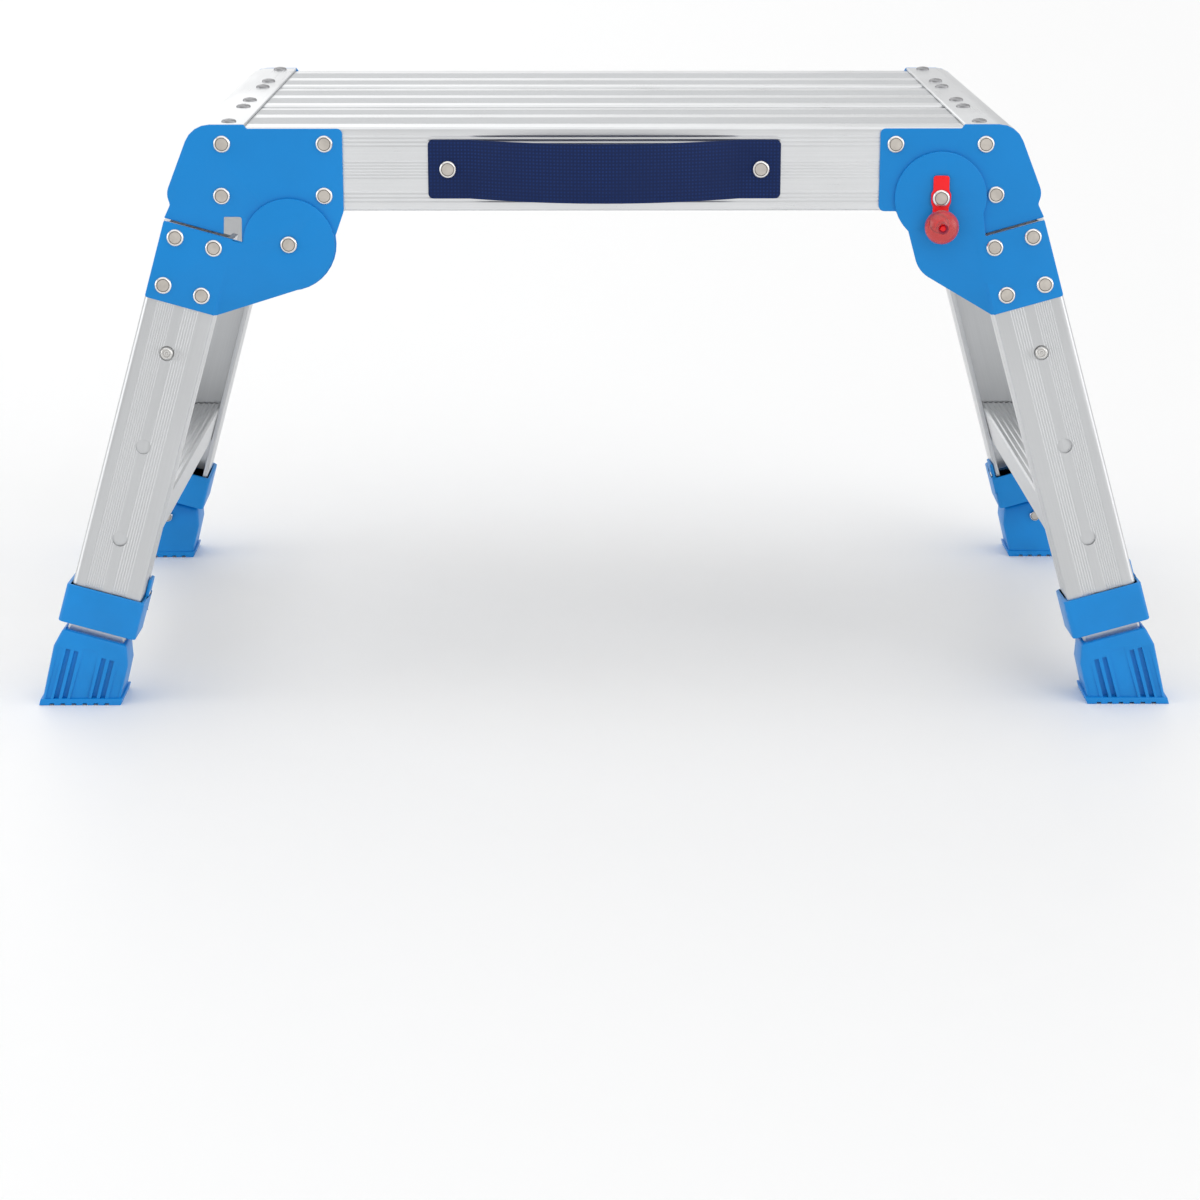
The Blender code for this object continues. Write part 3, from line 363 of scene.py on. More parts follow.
def wedge(bottom, top, matrix=Matrix()):
    # a box whose two ends may differ: each end is (low x, low y, high x, high y, z)
    bm = bmesh.new()
    bmesh.ops.create_cube(bm, size=1)
    for vert in bm.verts:
        end = top if vert.co.z > 0 else bottom
        vert.co = (end[2] if vert.co.x > 0 else end[0], end[3] if vert.co.y > 0 else end[1], end[4])
    bmesh.ops.transform(bm, matrix=matrix, verts=bm.verts)
    bmesh.ops.recalc_face_normals(bm, faces=bm.faces)
    return bm


def gather(shapes):
    bm = bmesh.new()
    for shape in shapes:
        mesh = bpy.data.meshes.new("part")
        shape.to_mesh(mesh)
        shape.free()
        bm.from_mesh(mesh)
        bpy.data.meshes.remove(mesh)
    return bm


def carve(bm, cutter, operation="DIFFERENCE"):
    made = []
    for shape in (bm, cutter):
        mesh = bpy.data.meshes.new("work")
        shape.to_mesh(mesh)
        shape.free()
        made.append(bpy.data.objects.new("work", mesh))
        bpy.context.scene.collection.objects.link(made[-1])
    cut = made[0].modifiers.new("cut", "BOOLEAN")
    cut.object = made[1]
    cut.solver = "EXACT"
    cut.operation = operation
    cut.use_self = True
    result = bmesh.new()
    result.from_object(made[0], bpy.context.evaluated_depsgraph_get())
    for obj in made:
        bpy.data.objects.remove(obj)
    bmesh.ops.remove_doubles(result, verts=result.verts, dist=1e-6)
    return result


def ribbed(start, end, inward, pitch, depth):
    # from start to end with grooves cut towards inward, whole grooves only, centred
    start, end, inward = Vector(start), Vector(end), Vector(inward)
    along = end - start
    count = max(int(along.length / pitch), 1)
    step = along / count
    points = []
    for i in range(count):
        base = start + step * i
        points += [base + step * 0.12, base + step * 0.30 + inward * depth,
                   base + step * 0.70 + inward * depth, base + step * 0.88]
    return [tuple(start)] + [tuple(point) for point in points] + [tuple(end)]


def corner(centre, radius, fromAngle, toAngle, steps=5):
    angles = [math.radians(fromAngle + (toAngle - fromAngle) * i / steps) for i in range(steps + 1)]
    return [(centre[0] + radius * math.cos(a), centre[1] + radius * math.sin(a)) for a in angles]


def rectangle(lowX, lowY, highX, highY):
    return [(lowX, lowY), (highX, lowY), (highX, highY), (lowX, highY)]


def reach(node, axis):
    along = [vert.co.dot(axis) for vert in nodes[node].data.vertices]
    return min(along), max(along)


def headCentres(node, axis, level=None, apart=8 * mm):
    # the middle of each flat top at that level, or at the level furthest out along axis
    if level is None:
        level = reach(node, axis)[1]
    spots = [vert.co for vert in nodes[node].data.vertices if abs(vert.co.dot(axis) - level) < 3e-5]
    tops = {tuple(round(value, 6) for value in spot) for spot in spots}
    groups = []
    for point in map(Vector, sorted(tops)):
        near = [group for group in groups if min((point - other).length for other in group) < apart]
        if near:
            near[0].append(point)
        else:
            groups.append([point])
    return [sum(group, Vector()) / len(group) for group in groups]


def outwards(point, axis):
    # a frame at point whose Z runs along axis
    turned = Vector(axis).to_track_quat("Z", "Y").to_matrix().to_4x4()
    return Matrix.Translation(point) @ turned


def legPlace(side, face):
    # origin on the outer face at the top of the outer leg, Y out of that face, Z up the leg
    name = side + "_" + face
    up = -Vector(joints[name + "_extend"]["axis"]).normalized()
    out = -Vector(joints[name + "_press"]["axis"]).normalized()
    across = out.cross(up)
    place = Matrix((across, out, up)).transposed().to_4x4()
    leg = name + "_outer_leg"
    middle = sum(reach(leg, across)) / 2
    place.translation = across * middle + out * reach(leg, out)[1] + up * reach(leg, up)[1]
    endward = 1 if across.x * sides[side] > 0 else -1
    return place, endward


# Deck

plankLook = {
    "wall": 2.2 * mm, "edge": 2.5 * mm, "thickness": 25 * mm, "railWidth": 22 * mm,
    "pitch": 2.75 * mm, "depth": 0.75 * mm,
    "outerBands": ((13, 47), (67, 109)),          # ribs, measured from the plank's inner edge
    "middleBands": ((10, 48),),                   # ribs, measured from the plank's middle
    "railPitch": 2.3 * mm, "railDepth": 0.30 * mm,
    "railBands": ((6, 15), (25, 39), (48, 57)),   # ribs down the rail's face
}


# gives the rib bands the second material, whose darker grey is painted shade
def markShadedRibs(bm, top, bands):
    for item in bm.faces:
        middle = item.calc_center_median()
        if middle.z > top - 1.5 * mm and any(start < abs(middle.y) < end for start, end in bands):
            item.material_index = 1


def addPlanks():
    look = plankLook
    edge, wall = look["edge"], look["wall"]
    for face, sign in faces.items():
        node = face + "_plank"
        low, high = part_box(node)
        inner = min(abs(low.y), abs(high.y))
        outer = max(abs(low.y), abs(high.y))
        top, bottom = high.z, low.z
        soffit = top - look["thickness"]
        back = outer - look["railWidth"]
        line = corner((inner + edge, top - edge), edge, 180, 90)
        for start, end in look["outerBands"]:
            line += ribbed((inner + start * mm, top), (inner + end * mm, top), (0, -1), look["pitch"],
                look["depth"])
        line += corner((outer - edge, top - edge), edge, 90, 0)
        for start, end in look["railBands"]:
            line += ribbed((outer, top - start * mm), (outer, top - end * mm), (-1, 0),
                look["railPitch"], look["railDepth"])
        line += corner((outer - edge, bottom + edge), edge, 0, -90)
        line += corner((back + 1.5 * mm, bottom + 1.5 * mm), 1.5 * mm, -90, -180)
        line += [(back, soffit)]
        line += corner((inner + 1.5 * mm, soffit + 1.5 * mm), 1.5 * mm, 270, 180)
        web = (inner + back) / 2
        cells = [
            rectangle(inner + wall, soffit + wall, web - wall / 2, top - wall),
            rectangle(web + wall / 2, soffit + wall, back - wall, top - wall),
            rectangle(back + wall, bottom + wall, outer - wall, top - wall),
        ]
        bm = barFrom([line] + cells, lambda x, y: (low.x, sign * x, y), (high.x - low.x, 0, 0))
        markShadedRibs(bm, top, [(inner + start * mm, inner + end * mm) for start, end in look["outerBands"]])
        addPiece(bm, face + "Plank", "deck", ("deck", "deckRibsPaintedShade"), [node])
    low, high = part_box("middle_plank")
    half = high.y
    bands = [(-end, -start) for start, end in reversed(look["middleBands"])] + list(look["middleBands"])
    line = corner((-half + edge, high.z - edge), edge, 180, 90)
    for start, end in bands:
        line += ribbed((start * mm, high.z), (end * mm, high.z), (0, -1), look["pitch"], look["depth"])
    line += corner((half - edge, high.z - edge), edge, 90, 0)
    line += corner((half - edge, low.z + edge), edge, 0, -90)
    line += corner((-half + edge, low.z + edge), edge, 270, 180)
    cells = [
        rectangle(-half + wall, low.z + wall, -wall / 2, high.z - wall),
        rectangle(wall / 2, low.z + wall, half - wall, high.z - wall),
    ]
    bm = barFrom([line] + cells, lambda x, y: (low.x, x, y), (high.x - low.x, 0, 0))
    markShadedRibs(bm, high.z, [(start * mm, end * mm) for start, end in look["middleBands"]])
    addPiece(bm, "middlePlank", "deck", ("deck", "deckRibsPaintedShade"), ["middle_plank"])


screwLook = {"radius": 5.7 * mm, "height": 2.4 * mm, "slotWidth": 1.5 * mm, "slotLength": 6.6 * mm,
    "slotDepth": 1.5 * mm, "sectionAt": 150 * mm}   # the last: where the end profile's section is taken


def addEndProfiles():
    look = screwLook
    radius, height = look["radius"], look["height"]
    for side in sides:
        node = side + "_end_profile"
        low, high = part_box(node)
        bm = cadCopy(node)
        middle = (low.y + high.y) / 2
        bmesh.ops.bisect_plane(
            bm, geom=bm.verts[:] + bm.edges[:] + bm.faces[:], dist=cutReach,
            plane_co=(0, middle + look["sectionAt"], 0), plane_no=(0, 1, 0), clear_inner=True, clear_outer=True)
        bmesh.ops.triangle_fill(bm, edges=bm.edges, use_beauty=True, use_dissolve=True)
        bmesh.ops.translate(bm, vec=(0, low.y - middle - look["sectionAt"], 0), verts=bm.verts)
        extrudeFaces(bm, (0, high.y - low.y, 0))
        soften(bm, 0.5 * mm)
        addPiece(bm, side + "EndProfile", "deck", "deckEnd", [node])
        head = lathe([(0, height - 0.05 * mm), (radius * 0.45, height), (radius * 0.80, height - 0.45 * mm),
                      (radius * 0.96, height - 1.2 * mm), (radius, height - 1.7 * mm), (radius, 0), (0, 0)])
        cross = []
        for x, y in ((look["slotLength"], look["slotWidth"]), (look["slotWidth"], look["slotLength"])):
            floor, lid = height - look["slotDepth"], height + 1 * mm
            cross.append(wedge((-x * 0.32, -y * 0.32, x * 0.32, y * 0.32, floor),
                (-x / 2, -y / 2, x / 2, y / 2, lid)))
        head = carve(head, gather(cross))
        centres = headCentres(node, Vector((0, 0, 1)))
        places = [Matrix.Translation((c.x, c.y, high.z - height)) @ Matrix.Rotation(0.7 * i, 4, "Z")
                  for i, c in enumerate(centres)]
        addPiece(repeated(head, places), side + "DeckScrews", "deck", "screw")


addPlanks()
addEndProfiles()
print("deck made")


# Hinges

rivetLook = {"radius": 6.6 * mm, "height": 1.9 * mm, "ring": 4.6 * mm, "groove": 0.45 * mm}


shankLook = {   # radius, radius of the set end, its height, how far its edge slopes
    "pivot": (3.9 * mm, 5.8 * mm, 1.8 * mm, 0.2 * mm),
    "strap": (2.9 * mm, 4.7 * mm, 1.4 * mm, 0.1 * mm),
    "foot": (2.9 * mm, 4.4 * mm, 1.2 * mm, 0.1 * mm),
}
shankTaper = 0.2 * mm


def shank(kind, back):
    radius, setRadius, setHeight, slope = shankLook[kind]
    edge = (setRadius, back + setHeight - slope)
    return [(radius, 0), (radius, back + setHeight), edge, (setRadius - shankTaper, back), (0, back)]


def rivetProfile(radius, height, base=0.0):
    # flat middle, a fine groove round it, then a rim that slopes down to the plate
    ring, groove = rivetLook["ring"] * radius / rivetLook["radius"], rivetLook["groove"]
    return [
        (0, height - 0.10 * mm), (ring - 0.30 * mm, height - 0.10 * mm), (ring - 0.10 * mm, height - groove),
        (ring + 0.18 * mm, height - groove), (ring + 0.38 * mm, height),
        (ring + 0.75 * mm, height - 0.03 * mm),
        (radius - 0.45 * mm, height - 0.75 * mm), (radius - 0.10 * mm, height - 1.15 * mm),
        (radius, height - 1.5 * mm), (radius, base), (0, base),
    ]


def rivetHead(profile, radius, steps=40):
    bm = lathe(profile, steps)
    ring = rivetLook["ring"] * radius / rivetLook["radius"]
    # the flat middle gets a painted reflection, and the fine groove round it gets painted shade
    for item in bm.faces:
        away = item.calc_center_median().xy.length
        if item.calc_center_median().z > 0 and away < ring + 0.25 * mm:
            item.material_index = 1 if away < ring - 0.2 * mm else 2
    return bm


# the second and third finishes are a painted reflection and painted shade
rivetFinishes = ("rivet", "rivetFacePaintedReflection", "groove")


def addRivets(name, body, centres, axis, radius=None):
    # centres are the middles of the heads' tops
    radius = radius or rivetLook["radius"]
    height = rivetLook["height"]
    axis = Vector(axis)
    places = [outwards(centre - axis * height, axis) for centre in centres]
    head = rivetHead(rivetProfile(radius, height), radius)
    addPiece(repeated(head, places), name, body, rivetFinishes)


plateLook = {"thickness": 3 * mm, "edge": 0.8 * mm, "headBelowTop": 1.9 * mm}


def addHingePlate(side, face):
    node = f"{side}_{face}_hinge_plate"
    sign = faces[face]
    out = Vector((0, sign, 0))
    back = reach(node, out)[0]
    bm = cadCopy(node)
    cut = back + plateLook["thickness"] / 2
    bmesh.ops.bisect_plane(
        bm, geom=bm.verts[:] + bm.edges[:] + bm.faces[:], dist=cutReach,
        plane_co=out * cut, plane_no=(0, 1, 0),
        clear_inner=True, clear_outer=True)
    bmesh.ops.triangle_fill(bm, edges=bm.edges, use_beauty=True, use_dissolve=True)
    bmesh.ops.translate(bm, vec=out * (back - cut), verts=bm.verts)
    extrudeFaces(bm, out * plateLook["thickness"])
    soften(bm, plateLook["edge"], 3, 50)
    addPiece(bm, f"{side}{face.title()}HingePlate", "deck", "bluePaint", [node])
    addRivets(f"{side}{face.title()}PlateRivets", "deck", headCentres(node, out), out)


def bracketHeads(side, face):
    # level and centres of the rivet heads on the part of the bracket that lies on the leg
    node = f"{side}_{face}_leg_bracket"
    place = legPlace(side, face)[0]
    out = place.col[1].to_3d()
    legFace = place.translation.dot(out)
    levels = [round((vert.co.dot(out) - legFace) / mm, 2) for vert in nodes[node].data.vertices]
    levels = [level for level in levels if level > 4.5]
    level = legFace + max(set(levels), key=levels.count) * mm
    return level, headCentres(node, out, level)


def addBracket(side, face):
    node = f"{side}_{face}_leg_bracket"
    place = legPlace(side, face)[0]
    out = place.col[1].to_3d()
    level, centres = bracketHeads(side, face)
    surface = level - plateLook["headBelowTop"]
    bm = bmesh.new()
    bm.from_mesh(nodes[node].data)
    bmesh.ops.remove_doubles(bm, verts=bm.verts, dist=2e-6)
    heads = []
    for item in bm.faces:
        middle = item.calc_center_median()
        flat = [(middle - centre) - out * (middle - centre).dot(out) for centre in centres]
        if middle.dot(out) > surface + sameLevel and min(
                offset.length for offset in flat) < rivetLook["radius"] + 0.2 * mm:
            heads.append(item)
    bmesh.ops.delete(bm, geom=heads, context="FACES")
    bmesh.ops.holes_fill(bm, edges=[edge for edge in bm.edges if edge.is_boundary], sides=0)
    bmesh.ops.dissolve_limit(bm, angle_limit=math.radians(0.5), verts=bm.verts, edges=bm.edges)
    soften(bm, plateLook["edge"], 3, 50)
    body = side + "_frame"
    addPiece(bm, f"{side}{face.title()}LegBracket", body, "bluePaint", [node], smoothBelow=50)
    addRivets(f"{side}{face.title()}BracketRivets", body, centres, out)


def addPivot(side, face):
    node = f"{side}_{face}_pivot_pin"
    out = Vector((0, faces[face], 0))
    low, high = reach(node, out)
    centre = (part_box(node)[0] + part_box(node)[1]) / 2
    height = rivetLook["height"]
    seat = high - height
    profile = rivetProfile(rivetLook["radius"], height)[:-1]
    back = low - seat
    profile += shank("pivot", back)
    bm = rivetHead(profile, rivetLook["radius"])
    place = outwards(centre - out * centre.dot(out) + out * seat, out)
    bmesh.ops.transform(bm, matrix=place, verts=bm.verts)
    addPiece(bm, f"{side}{face.title()}PivotRivet", "deck", rivetFinishes, [node])


for side in sides:
    for face in faces:
        addHingePlate(side, face)
        addBracket(side, face)
        addPivot(side, face)
print("hinges made")


# Locks

knobShape = {"bore": 3.0 * mm, "core": 2.2 * mm}


def addLock(side, face):
    out = Vector((0, faces[face], 0))
    lever = cadCopy(side + "_lock_lever")
    soften(lever, 0.45 * mm, 3, 50)
    addPiece(lever, side + "LockLever", "deck", "redPaint", [side + "_lock_lever"])
    node = side + "_lock_knob"
    low, high = reach(node, out)
    boxLow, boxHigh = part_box(node)
    radius = (boxHigh.x - boxLow.x) / 2
    thick = min(high - low, radius * 1.72)
    middle = high - thick / 2
    ball = [
        (math.cos(math.radians(a)) * radius, math.sin(math.radians(a)) * thick / 2)
        for a in range(72, -88, -8)]
    bore = knobShape["bore"]
    profile = [(0, -thick * 0.22), (bore * 0.7, -thick * 0.22), (bore, -thick * 0.12), (bore, thick * 0.36)]
    profile += [(bore + 0.7 * mm, thick * 0.455)] + ball + [(0, ball[-1][1])]
    bm = lathe(profile, 48)
    centre = (boxLow + boxHigh) / 2
    level = centre - out * centre.dot(out)
    bmesh.ops.transform(bm, matrix=outwards(level + out * middle, out), verts=bm.verts)
    addPiece(bm, side + "LockKnob", side + "_lock", "knob", [node], 50)
    core = knobShape["core"]
    pin = [(0, high - 2.6 * mm), (core * 0.8, high - 2.7 * mm), (core, high - 3.1 * mm),
        (core, middle + thick * -0.2)]
    pin += [(bore - 0.05 * mm, middle - thick * 0.2), (bore + 0.5 * mm, low), (0, low)]
    bm = lathe(pin, 32)
    bmesh.ops.transform(bm, matrix=outwards(level, out), verts=bm.verts)
    addPiece(bm, side + "LockPin", side + "_lock", "redPaint")


addLock("right", "front")
addLock("left", "rear")
print("locks made")


# Strap handles

strapLook = {"corner": 4 * mm, "edge": 0.7 * mm}


def addHandle(face):
    node = face + "_handle"
    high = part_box(node)[1]
    bm = cadCopy(node)
    ends = [
        edge for edge in bm.edges
        if all(abs(abs(vert.co.x) - high.x) < sameLevel for vert in edge.verts)
        and abs(edge.verts[0].co.z - edge.verts[1].co.z) < 1e-6
    ]
    soften(bm, strapLook["corner"], 6, edges=ends)
    soften(bm, strapLook["edge"], 2, 50)
    addPiece(bm, face + "Strap", "deck", "webbing", [node], 45)
    out = Vector((0, faces[face], 0))
    for side in sides:
        rivet = f"{face}_{side}_handle_rivet"
        boxLow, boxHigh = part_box(rivet)
        centre = (boxLow + boxHigh) / 2
        level = centre - out * centre.dot(out)
        lowest, highest = reach(rivet, out)
        height = rivetLook["height"]
        back = lowest - highest + height
        profile = rivetProfile(rivetLook["radius"], height)[:-1]
        profile += shank("strap", back)
        bm = rivetHead(profile, rivetLook["radius"])
        bmesh.ops.transform(bm, matrix=outwards(level + out * (highest - height), out), verts=bm.verts)
        addPiece(bm, f"{face}{side.title()}StrapRivet", "deck", rivetFinishes, [rivet])


for face in faces:
    addHandle(face)
print("handles made")


# Legs

legLook = {
    "wall": 2.0 * mm, "front": 1.5 * mm, "round": 5.0 * mm, "tip": 1.6 * mm, "boxDepth": 23.8 * mm,
    "bore": (45.8 * mm, 19.8 * mm), "pitch": 1.75 * mm, "depth": 0.24 * mm,
    "bands": ((-15.5, -3.4), (3.4, 17.5)),   # ribs, from the middle towards the deck's end
    "backHole": 3.2 * mm, "sideGroove": 0.5 * mm,
}


def addOuterLeg(side, face):
    look = legLook
    node = f"{side}_{face}_outer_leg"
    place, endward = legPlace(side, face)
    across, out, up = (place.col[i].to_3d() for i in range(3))
    low, high = reach(node, up)
    length = high - low
    width = reach(node, across)
    half = (width[1] - width[0]) / 2
    spans = reach(node, out)
    depth = spans[1] - spans[0]
    boreHalf, boreDepth = look["bore"][0] / 2, look["bore"][1]
    tip = look["tip"]
    line = corner((-half + look["front"], -look["front"]), look["front"], 180, 90, 4)
    for start, end in look["bands"]:
        line += ribbed((start * mm, 0), (end * mm, 0), (0, -1), look["pitch"], look["depth"])
    line += corner((half - look["round"], -look["round"]), look["round"], 90, 0, 8)
    groove = look["sideGroove"]
    boxBack = -look["boxDepth"]
    line += [(half, boxBack + 1.5 * mm), (half - groove, boxBack + 0.8 * mm),
        (half - groove, boxBack - 0.8 * mm),
             (half, boxBack - 1.5 * mm)]
    line += corner((half - tip, -depth + tip), tip, 0, -90, 4)
    line += [(boreHalf + 0.3 * mm, -depth), (boreHalf, -depth + 0.4 * mm), (boreHalf, boxBack),
        (-boreHalf, boxBack),
             (-boreHalf, -depth + 0.4 * mm), (-boreHalf - 0.3 * mm, -depth)]
    line += corner((-half + tip, -depth + tip), tip, -90, -180, 4)
    line += [(-half, boxBack - 1.5 * mm), (-half + groove, boxBack - 0.8 * mm),
        (-half + groove, boxBack + 0.8 * mm),
             (-half, boxBack + 1.5 * mm)]
    bore = rectangle(-boreHalf, -look["wall"] - boreDepth, boreHalf, -look["wall"])
    bm = barFrom([line, bore], lambda x, y: place @ Vector((x * endward, y, -length)), up * length)
    turn = Matrix.Rotation(math.radians(90), 4, "X")
    radius, rises = holeRises(side, face, place)
    cutters = []
    for rise in rises:
        cutters.append(rod(radius, 4 * look["wall"],
            place @ Matrix.Translation((0, -look["wall"] / 2, rise)) @ turn))
    for centre in bracketHeads(side, face)[1]:
        spot = place.inverted() @ centre
        spot.y = boxBack + look["wall"] / 2
        cutters.append(rod(look["backHole"], 4 * look["wall"], place @ Matrix.Translation(spot) @ turn, 20))
    bm = carve(bm, gather(cutters))
    addPiece(bm, f"{side}{face.title()}OuterLeg", side + "_frame", side + face, [node], 30)


def rod(radius, length, matrix, segments=36):
    bm = bmesh.new()
    bmesh.ops.create_cone(bm, cap_ends=True, segments=segments, radius1=radius, radius2=radius,
        depth=length, matrix=matrix)
    return bm


def holeRises(side, face, place):
    # the three latch holes, found from the rims that the CAD leg has on its outer face
    inverse = place.inverted()
    rims = {}
    for vert in nodes[f"{side}_{face}_outer_leg"].data.vertices:
        spot = inverse @ vert.co
        if abs(spot.y) < sameLevel and abs(spot.x) < 10 * mm and spot.z < -1 * mm:
            rims.setdefault(round(spot.z / 0.0375), []).append(spot)
    points = sorted((spot for group in rims.values() for spot in group), key=lambda spot: spot.z)
    groups = [[points[0]]]
    for spot in points[1:]:
        if spot.z - groups[-1][-1].z > 8 * mm:
            groups.append([])
        groups[-1].append(spot)
    groups = [group for group in groups if group[-1].z - group[0].z > 6 * mm]
    radius = (groups[0][-1].z - groups[0][0].z) / 2
    return radius, [(group[0].z + group[-1].z) / 2 for group in groups]


def addInnerLeg(side, face):
    node = f"{side}_{face}_inner_leg"
    bm = cadCopy(node)
    soften(bm, 0.25 * mm, 2, 60)
    addPiece(bm, f"{side}{face.title()}InnerLeg", f"{side}_{face}_leg", side + face, [node])


def addButton(side, face):
    node = f"{side}_{face}_snap_button"
    place = legPlace(side, face)[0]
    out = place.col[1].to_3d()
    top = headCentres(node, out)[0]
    radius = holeRises(side, face, place)[0] - 0.7 * mm
    proud = (place.inverted() @ top).y
    profile = [
        (0, proud - 0.9 * mm), (0.9 * mm, proud - 0.95 * mm), (1.2 * mm, proud - 1.4 * mm),
        (1.7 * mm, proud - 1.5 * mm),
        (2.3 * mm, proud - 1.35 * mm), (2.5 * mm, proud - 0.5 * mm), (2.9 * mm, proud - 0.05 * mm),
        (radius * 0.66, proud), (radius * 0.84, proud - 0.55 * mm), (radius * 0.96, proud - 1.4 * mm),
        (radius, proud - 2.2 * mm), (radius, -4.4 * mm), (radius + 1.0 * mm, -4.5 * mm),
        (radius + 1.0 * mm, -5.4 * mm),
        (0, -5.4 * mm),
    ]
    bm = lathe(profile, 36)
    bmesh.ops.transform(bm, matrix=outwards(top - out * proud, out), verts=bm.verts)
    addPiece(bm, f"{side}{face.title()}SnapButton", f"{side}_{face}_button", "spring", [node])


collarLook = {"edge": 0.9 * mm, "rivet": 5.0 * mm, "rivetDrop": 15 * mm}


def addCollar(side, face):
    node = f"{side}_{face}_collar"
    place, endward = legPlace(side, face)
    across, out, up = (place.col[i].to_3d() for i in range(3))
    bm = cadCopy(node)
    soften(bm, collarLook["edge"], 3, 50)
    addPiece(bm, f"{side}{face.title()}Collar", side + "_frame", "bluePlastic", [node], 50)
    top = reach(node, up)[1]
    rims = [vert.co for vert in nodes[node].data.vertices if vert.co.dot(up) > top - sameLevel]
    inward = across * -endward
    depth = (min(rim.dot(out) for rim in rims) + max(rim.dot(out) for rim in rims)) / 2
    wide = max(rim.dot(inward) for rim in rims)
    spot = inward * wide + out * depth + up * (top - collarLook["rivetDrop"])
    radius = collarLook["rivet"]
    head = lathe([(0, 0.05 * mm), (1.6 * mm, 0.05 * mm), (1.9 * mm, 0.40 * mm), (radius * 0.8, 0.35 * mm),
                  (radius, 0), (radius, -1.2 * mm), (0, -1.2 * mm)], 32)
    bmesh.ops.transform(head, matrix=outwards(spot, inward), verts=head.verts)
    addPiece(head, f"{side}{face.title()}CollarRivet", side + "_frame", "rivet")


footLook = {
    "topWidth": 51 * mm, "shoulder": 15 * mm, "shoulderWidth": 59.5 * mm, "round": 2.4 * mm,
    "inset": 0.5 * mm,
    "flange": 5.2 * mm, "notch": (4.6 * mm, 1.7 * mm), "notches": (-21.5, -12.9, -4.3, 4.3, 12.9, 21.5),
    "cuts": (   # middle in mm towards the deck's end, half width, depth, start below the foot's top
        (-17.4, 2.15, 4.6, 14.5), (-11.0, 2.15, 4.6, 14.5), (11.0, 2.15, 4.6, 14.5), (17.4, 2.15, 4.6, 14.5),
        (0.0, 7.3, 1.0, 11.0), (-25.6, 4.0, 0.9, 15.0), (23.4, 2.1, 0.9, 15.0)),
    "sideCuts": (-9.0, -17.0, -25.0),   # middle in mm behind the leg's outer face
}


def addFoot(side, face):
    look = footLook
    node = f"{side}_{face}_foot"
    place, endward = legPlace(side, face)
    inverse = place.inverted()
    spots = [inverse @ vert.co for vert in nodes[node].data.vertices]
    topAt = max(spot.z for spot in spots)
    crown = [spot for spot in spots if spot.z > topAt - sameLevel]
    onFloor = [vert.co for vert in nodes[node].data.vertices if vert.co.z < sameLevel]
    sole = [inverse @ point for point in onFloor]
    outerFace, crownBack = max(spot.y for spot in crown), min(spot.y for spot in crown)
    soleLow, soleHigh = min(spot.x for spot in sole), max(spot.x for spot in sole)
    soleBack = min(spot.y for spot in sole)
    soleDown = sum(spot.z for spot in sole) / len(sole)
    tall = topAt - soleDown
    shift = (soleLow + soleHigh) / 2
    soleHalf = (soleHigh - soleLow) / 2 * 0.965 - look["inset"]
    front = outerFace - look["inset"] * 0.6
    rows = [   # down the foot: drop, half width, shift of the middle, front, back
        (0.0, look["topWidth"] / 2, 0.0, outerFace, crownBack),
        (look["shoulder"], look["shoulderWidth"] / 2, shift * 0.25, front,
        crownBack + (soleBack - crownBack) * 0.3),
        (tall + 20 * mm, soleHalf, shift * 1.3, front,
        soleBack + (soleBack - crownBack) * 0.3 + look["inset"]),
    ]
    bm = bmesh.new()
    rings = []
    for drop, halfWidth, middle, near, back in rows:
        corners = ((-halfWidth, near), (halfWidth, near), (halfWidth, back), (-halfWidth, back))
        rings.append([bm.verts.new(place @ Vector((x + middle, y, topAt - drop))) for x, y in corners])
    for ring in rings:
        for first, second in zip(ring, ring[1:] + ring[:1]):
            bm.edges.new((first, second))
    for upper, lower in zip(rings, rings[1:]):
        loops = [bm.edges.get(pair) for ring in (upper, lower) for pair in zip(ring, ring[1:] + ring[:1])]
        bmesh.ops.bridge_loops(bm, edges=loops)
    for ring in (rings[0], rings[-1]):
        bmesh.ops.contextual_create(bm, geom=ring)
    bmesh.ops.recalc_face_normals(bm, faces=bm.faces)
    soften(bm, look["round"], 3, 40)
    cutLevel(bm, 0.6 * mm)
    xs, ys = [point.x for point in onFloor], [point.y for point in onFloor]
    lean = math.tan(legLean) * look["flange"] * -sides[side]
    flare = joints[f"{side}_{face}_extend"]["axis"]
    tilt = flare[1] / flare[2] * look["flange"]
    flange = wedge((min(xs), min(ys), max(xs), max(ys), 0),
                   (min(xs) + lean, min(ys) + tilt, max(xs) + lean, max(ys) + tilt, look["flange"]))
    soften(flange, 0.5 * mm, 2, 40)
    bm = carve(bm, flange, "UNION")
    bm = carve(bm, gather(footCutters(place, endward, topAt, tall, shift, outerFace)))
    addPiece(bm, f"{side}{face.title()}Foot", f"{side}_{face}_leg", "bluePlastic", [node], 32)


def cutLevel(bm, height):
    # drops everything below that height and closes the cut
    bmesh.ops.bisect_plane(
        bm, geom=bm.verts[:] + bm.edges[:] + bm.faces[:], dist=cutReach, plane_co=(0, 0, height),
        plane_no=(0, 0, -1),
        clear_outer=True)
    bmesh.ops.holes_fill(bm, edges=[edge for edge in bm.edges if edge.is_boundary], sides=0)
    bmesh.ops.recalc_face_normals(bm, faces=bm.faces)


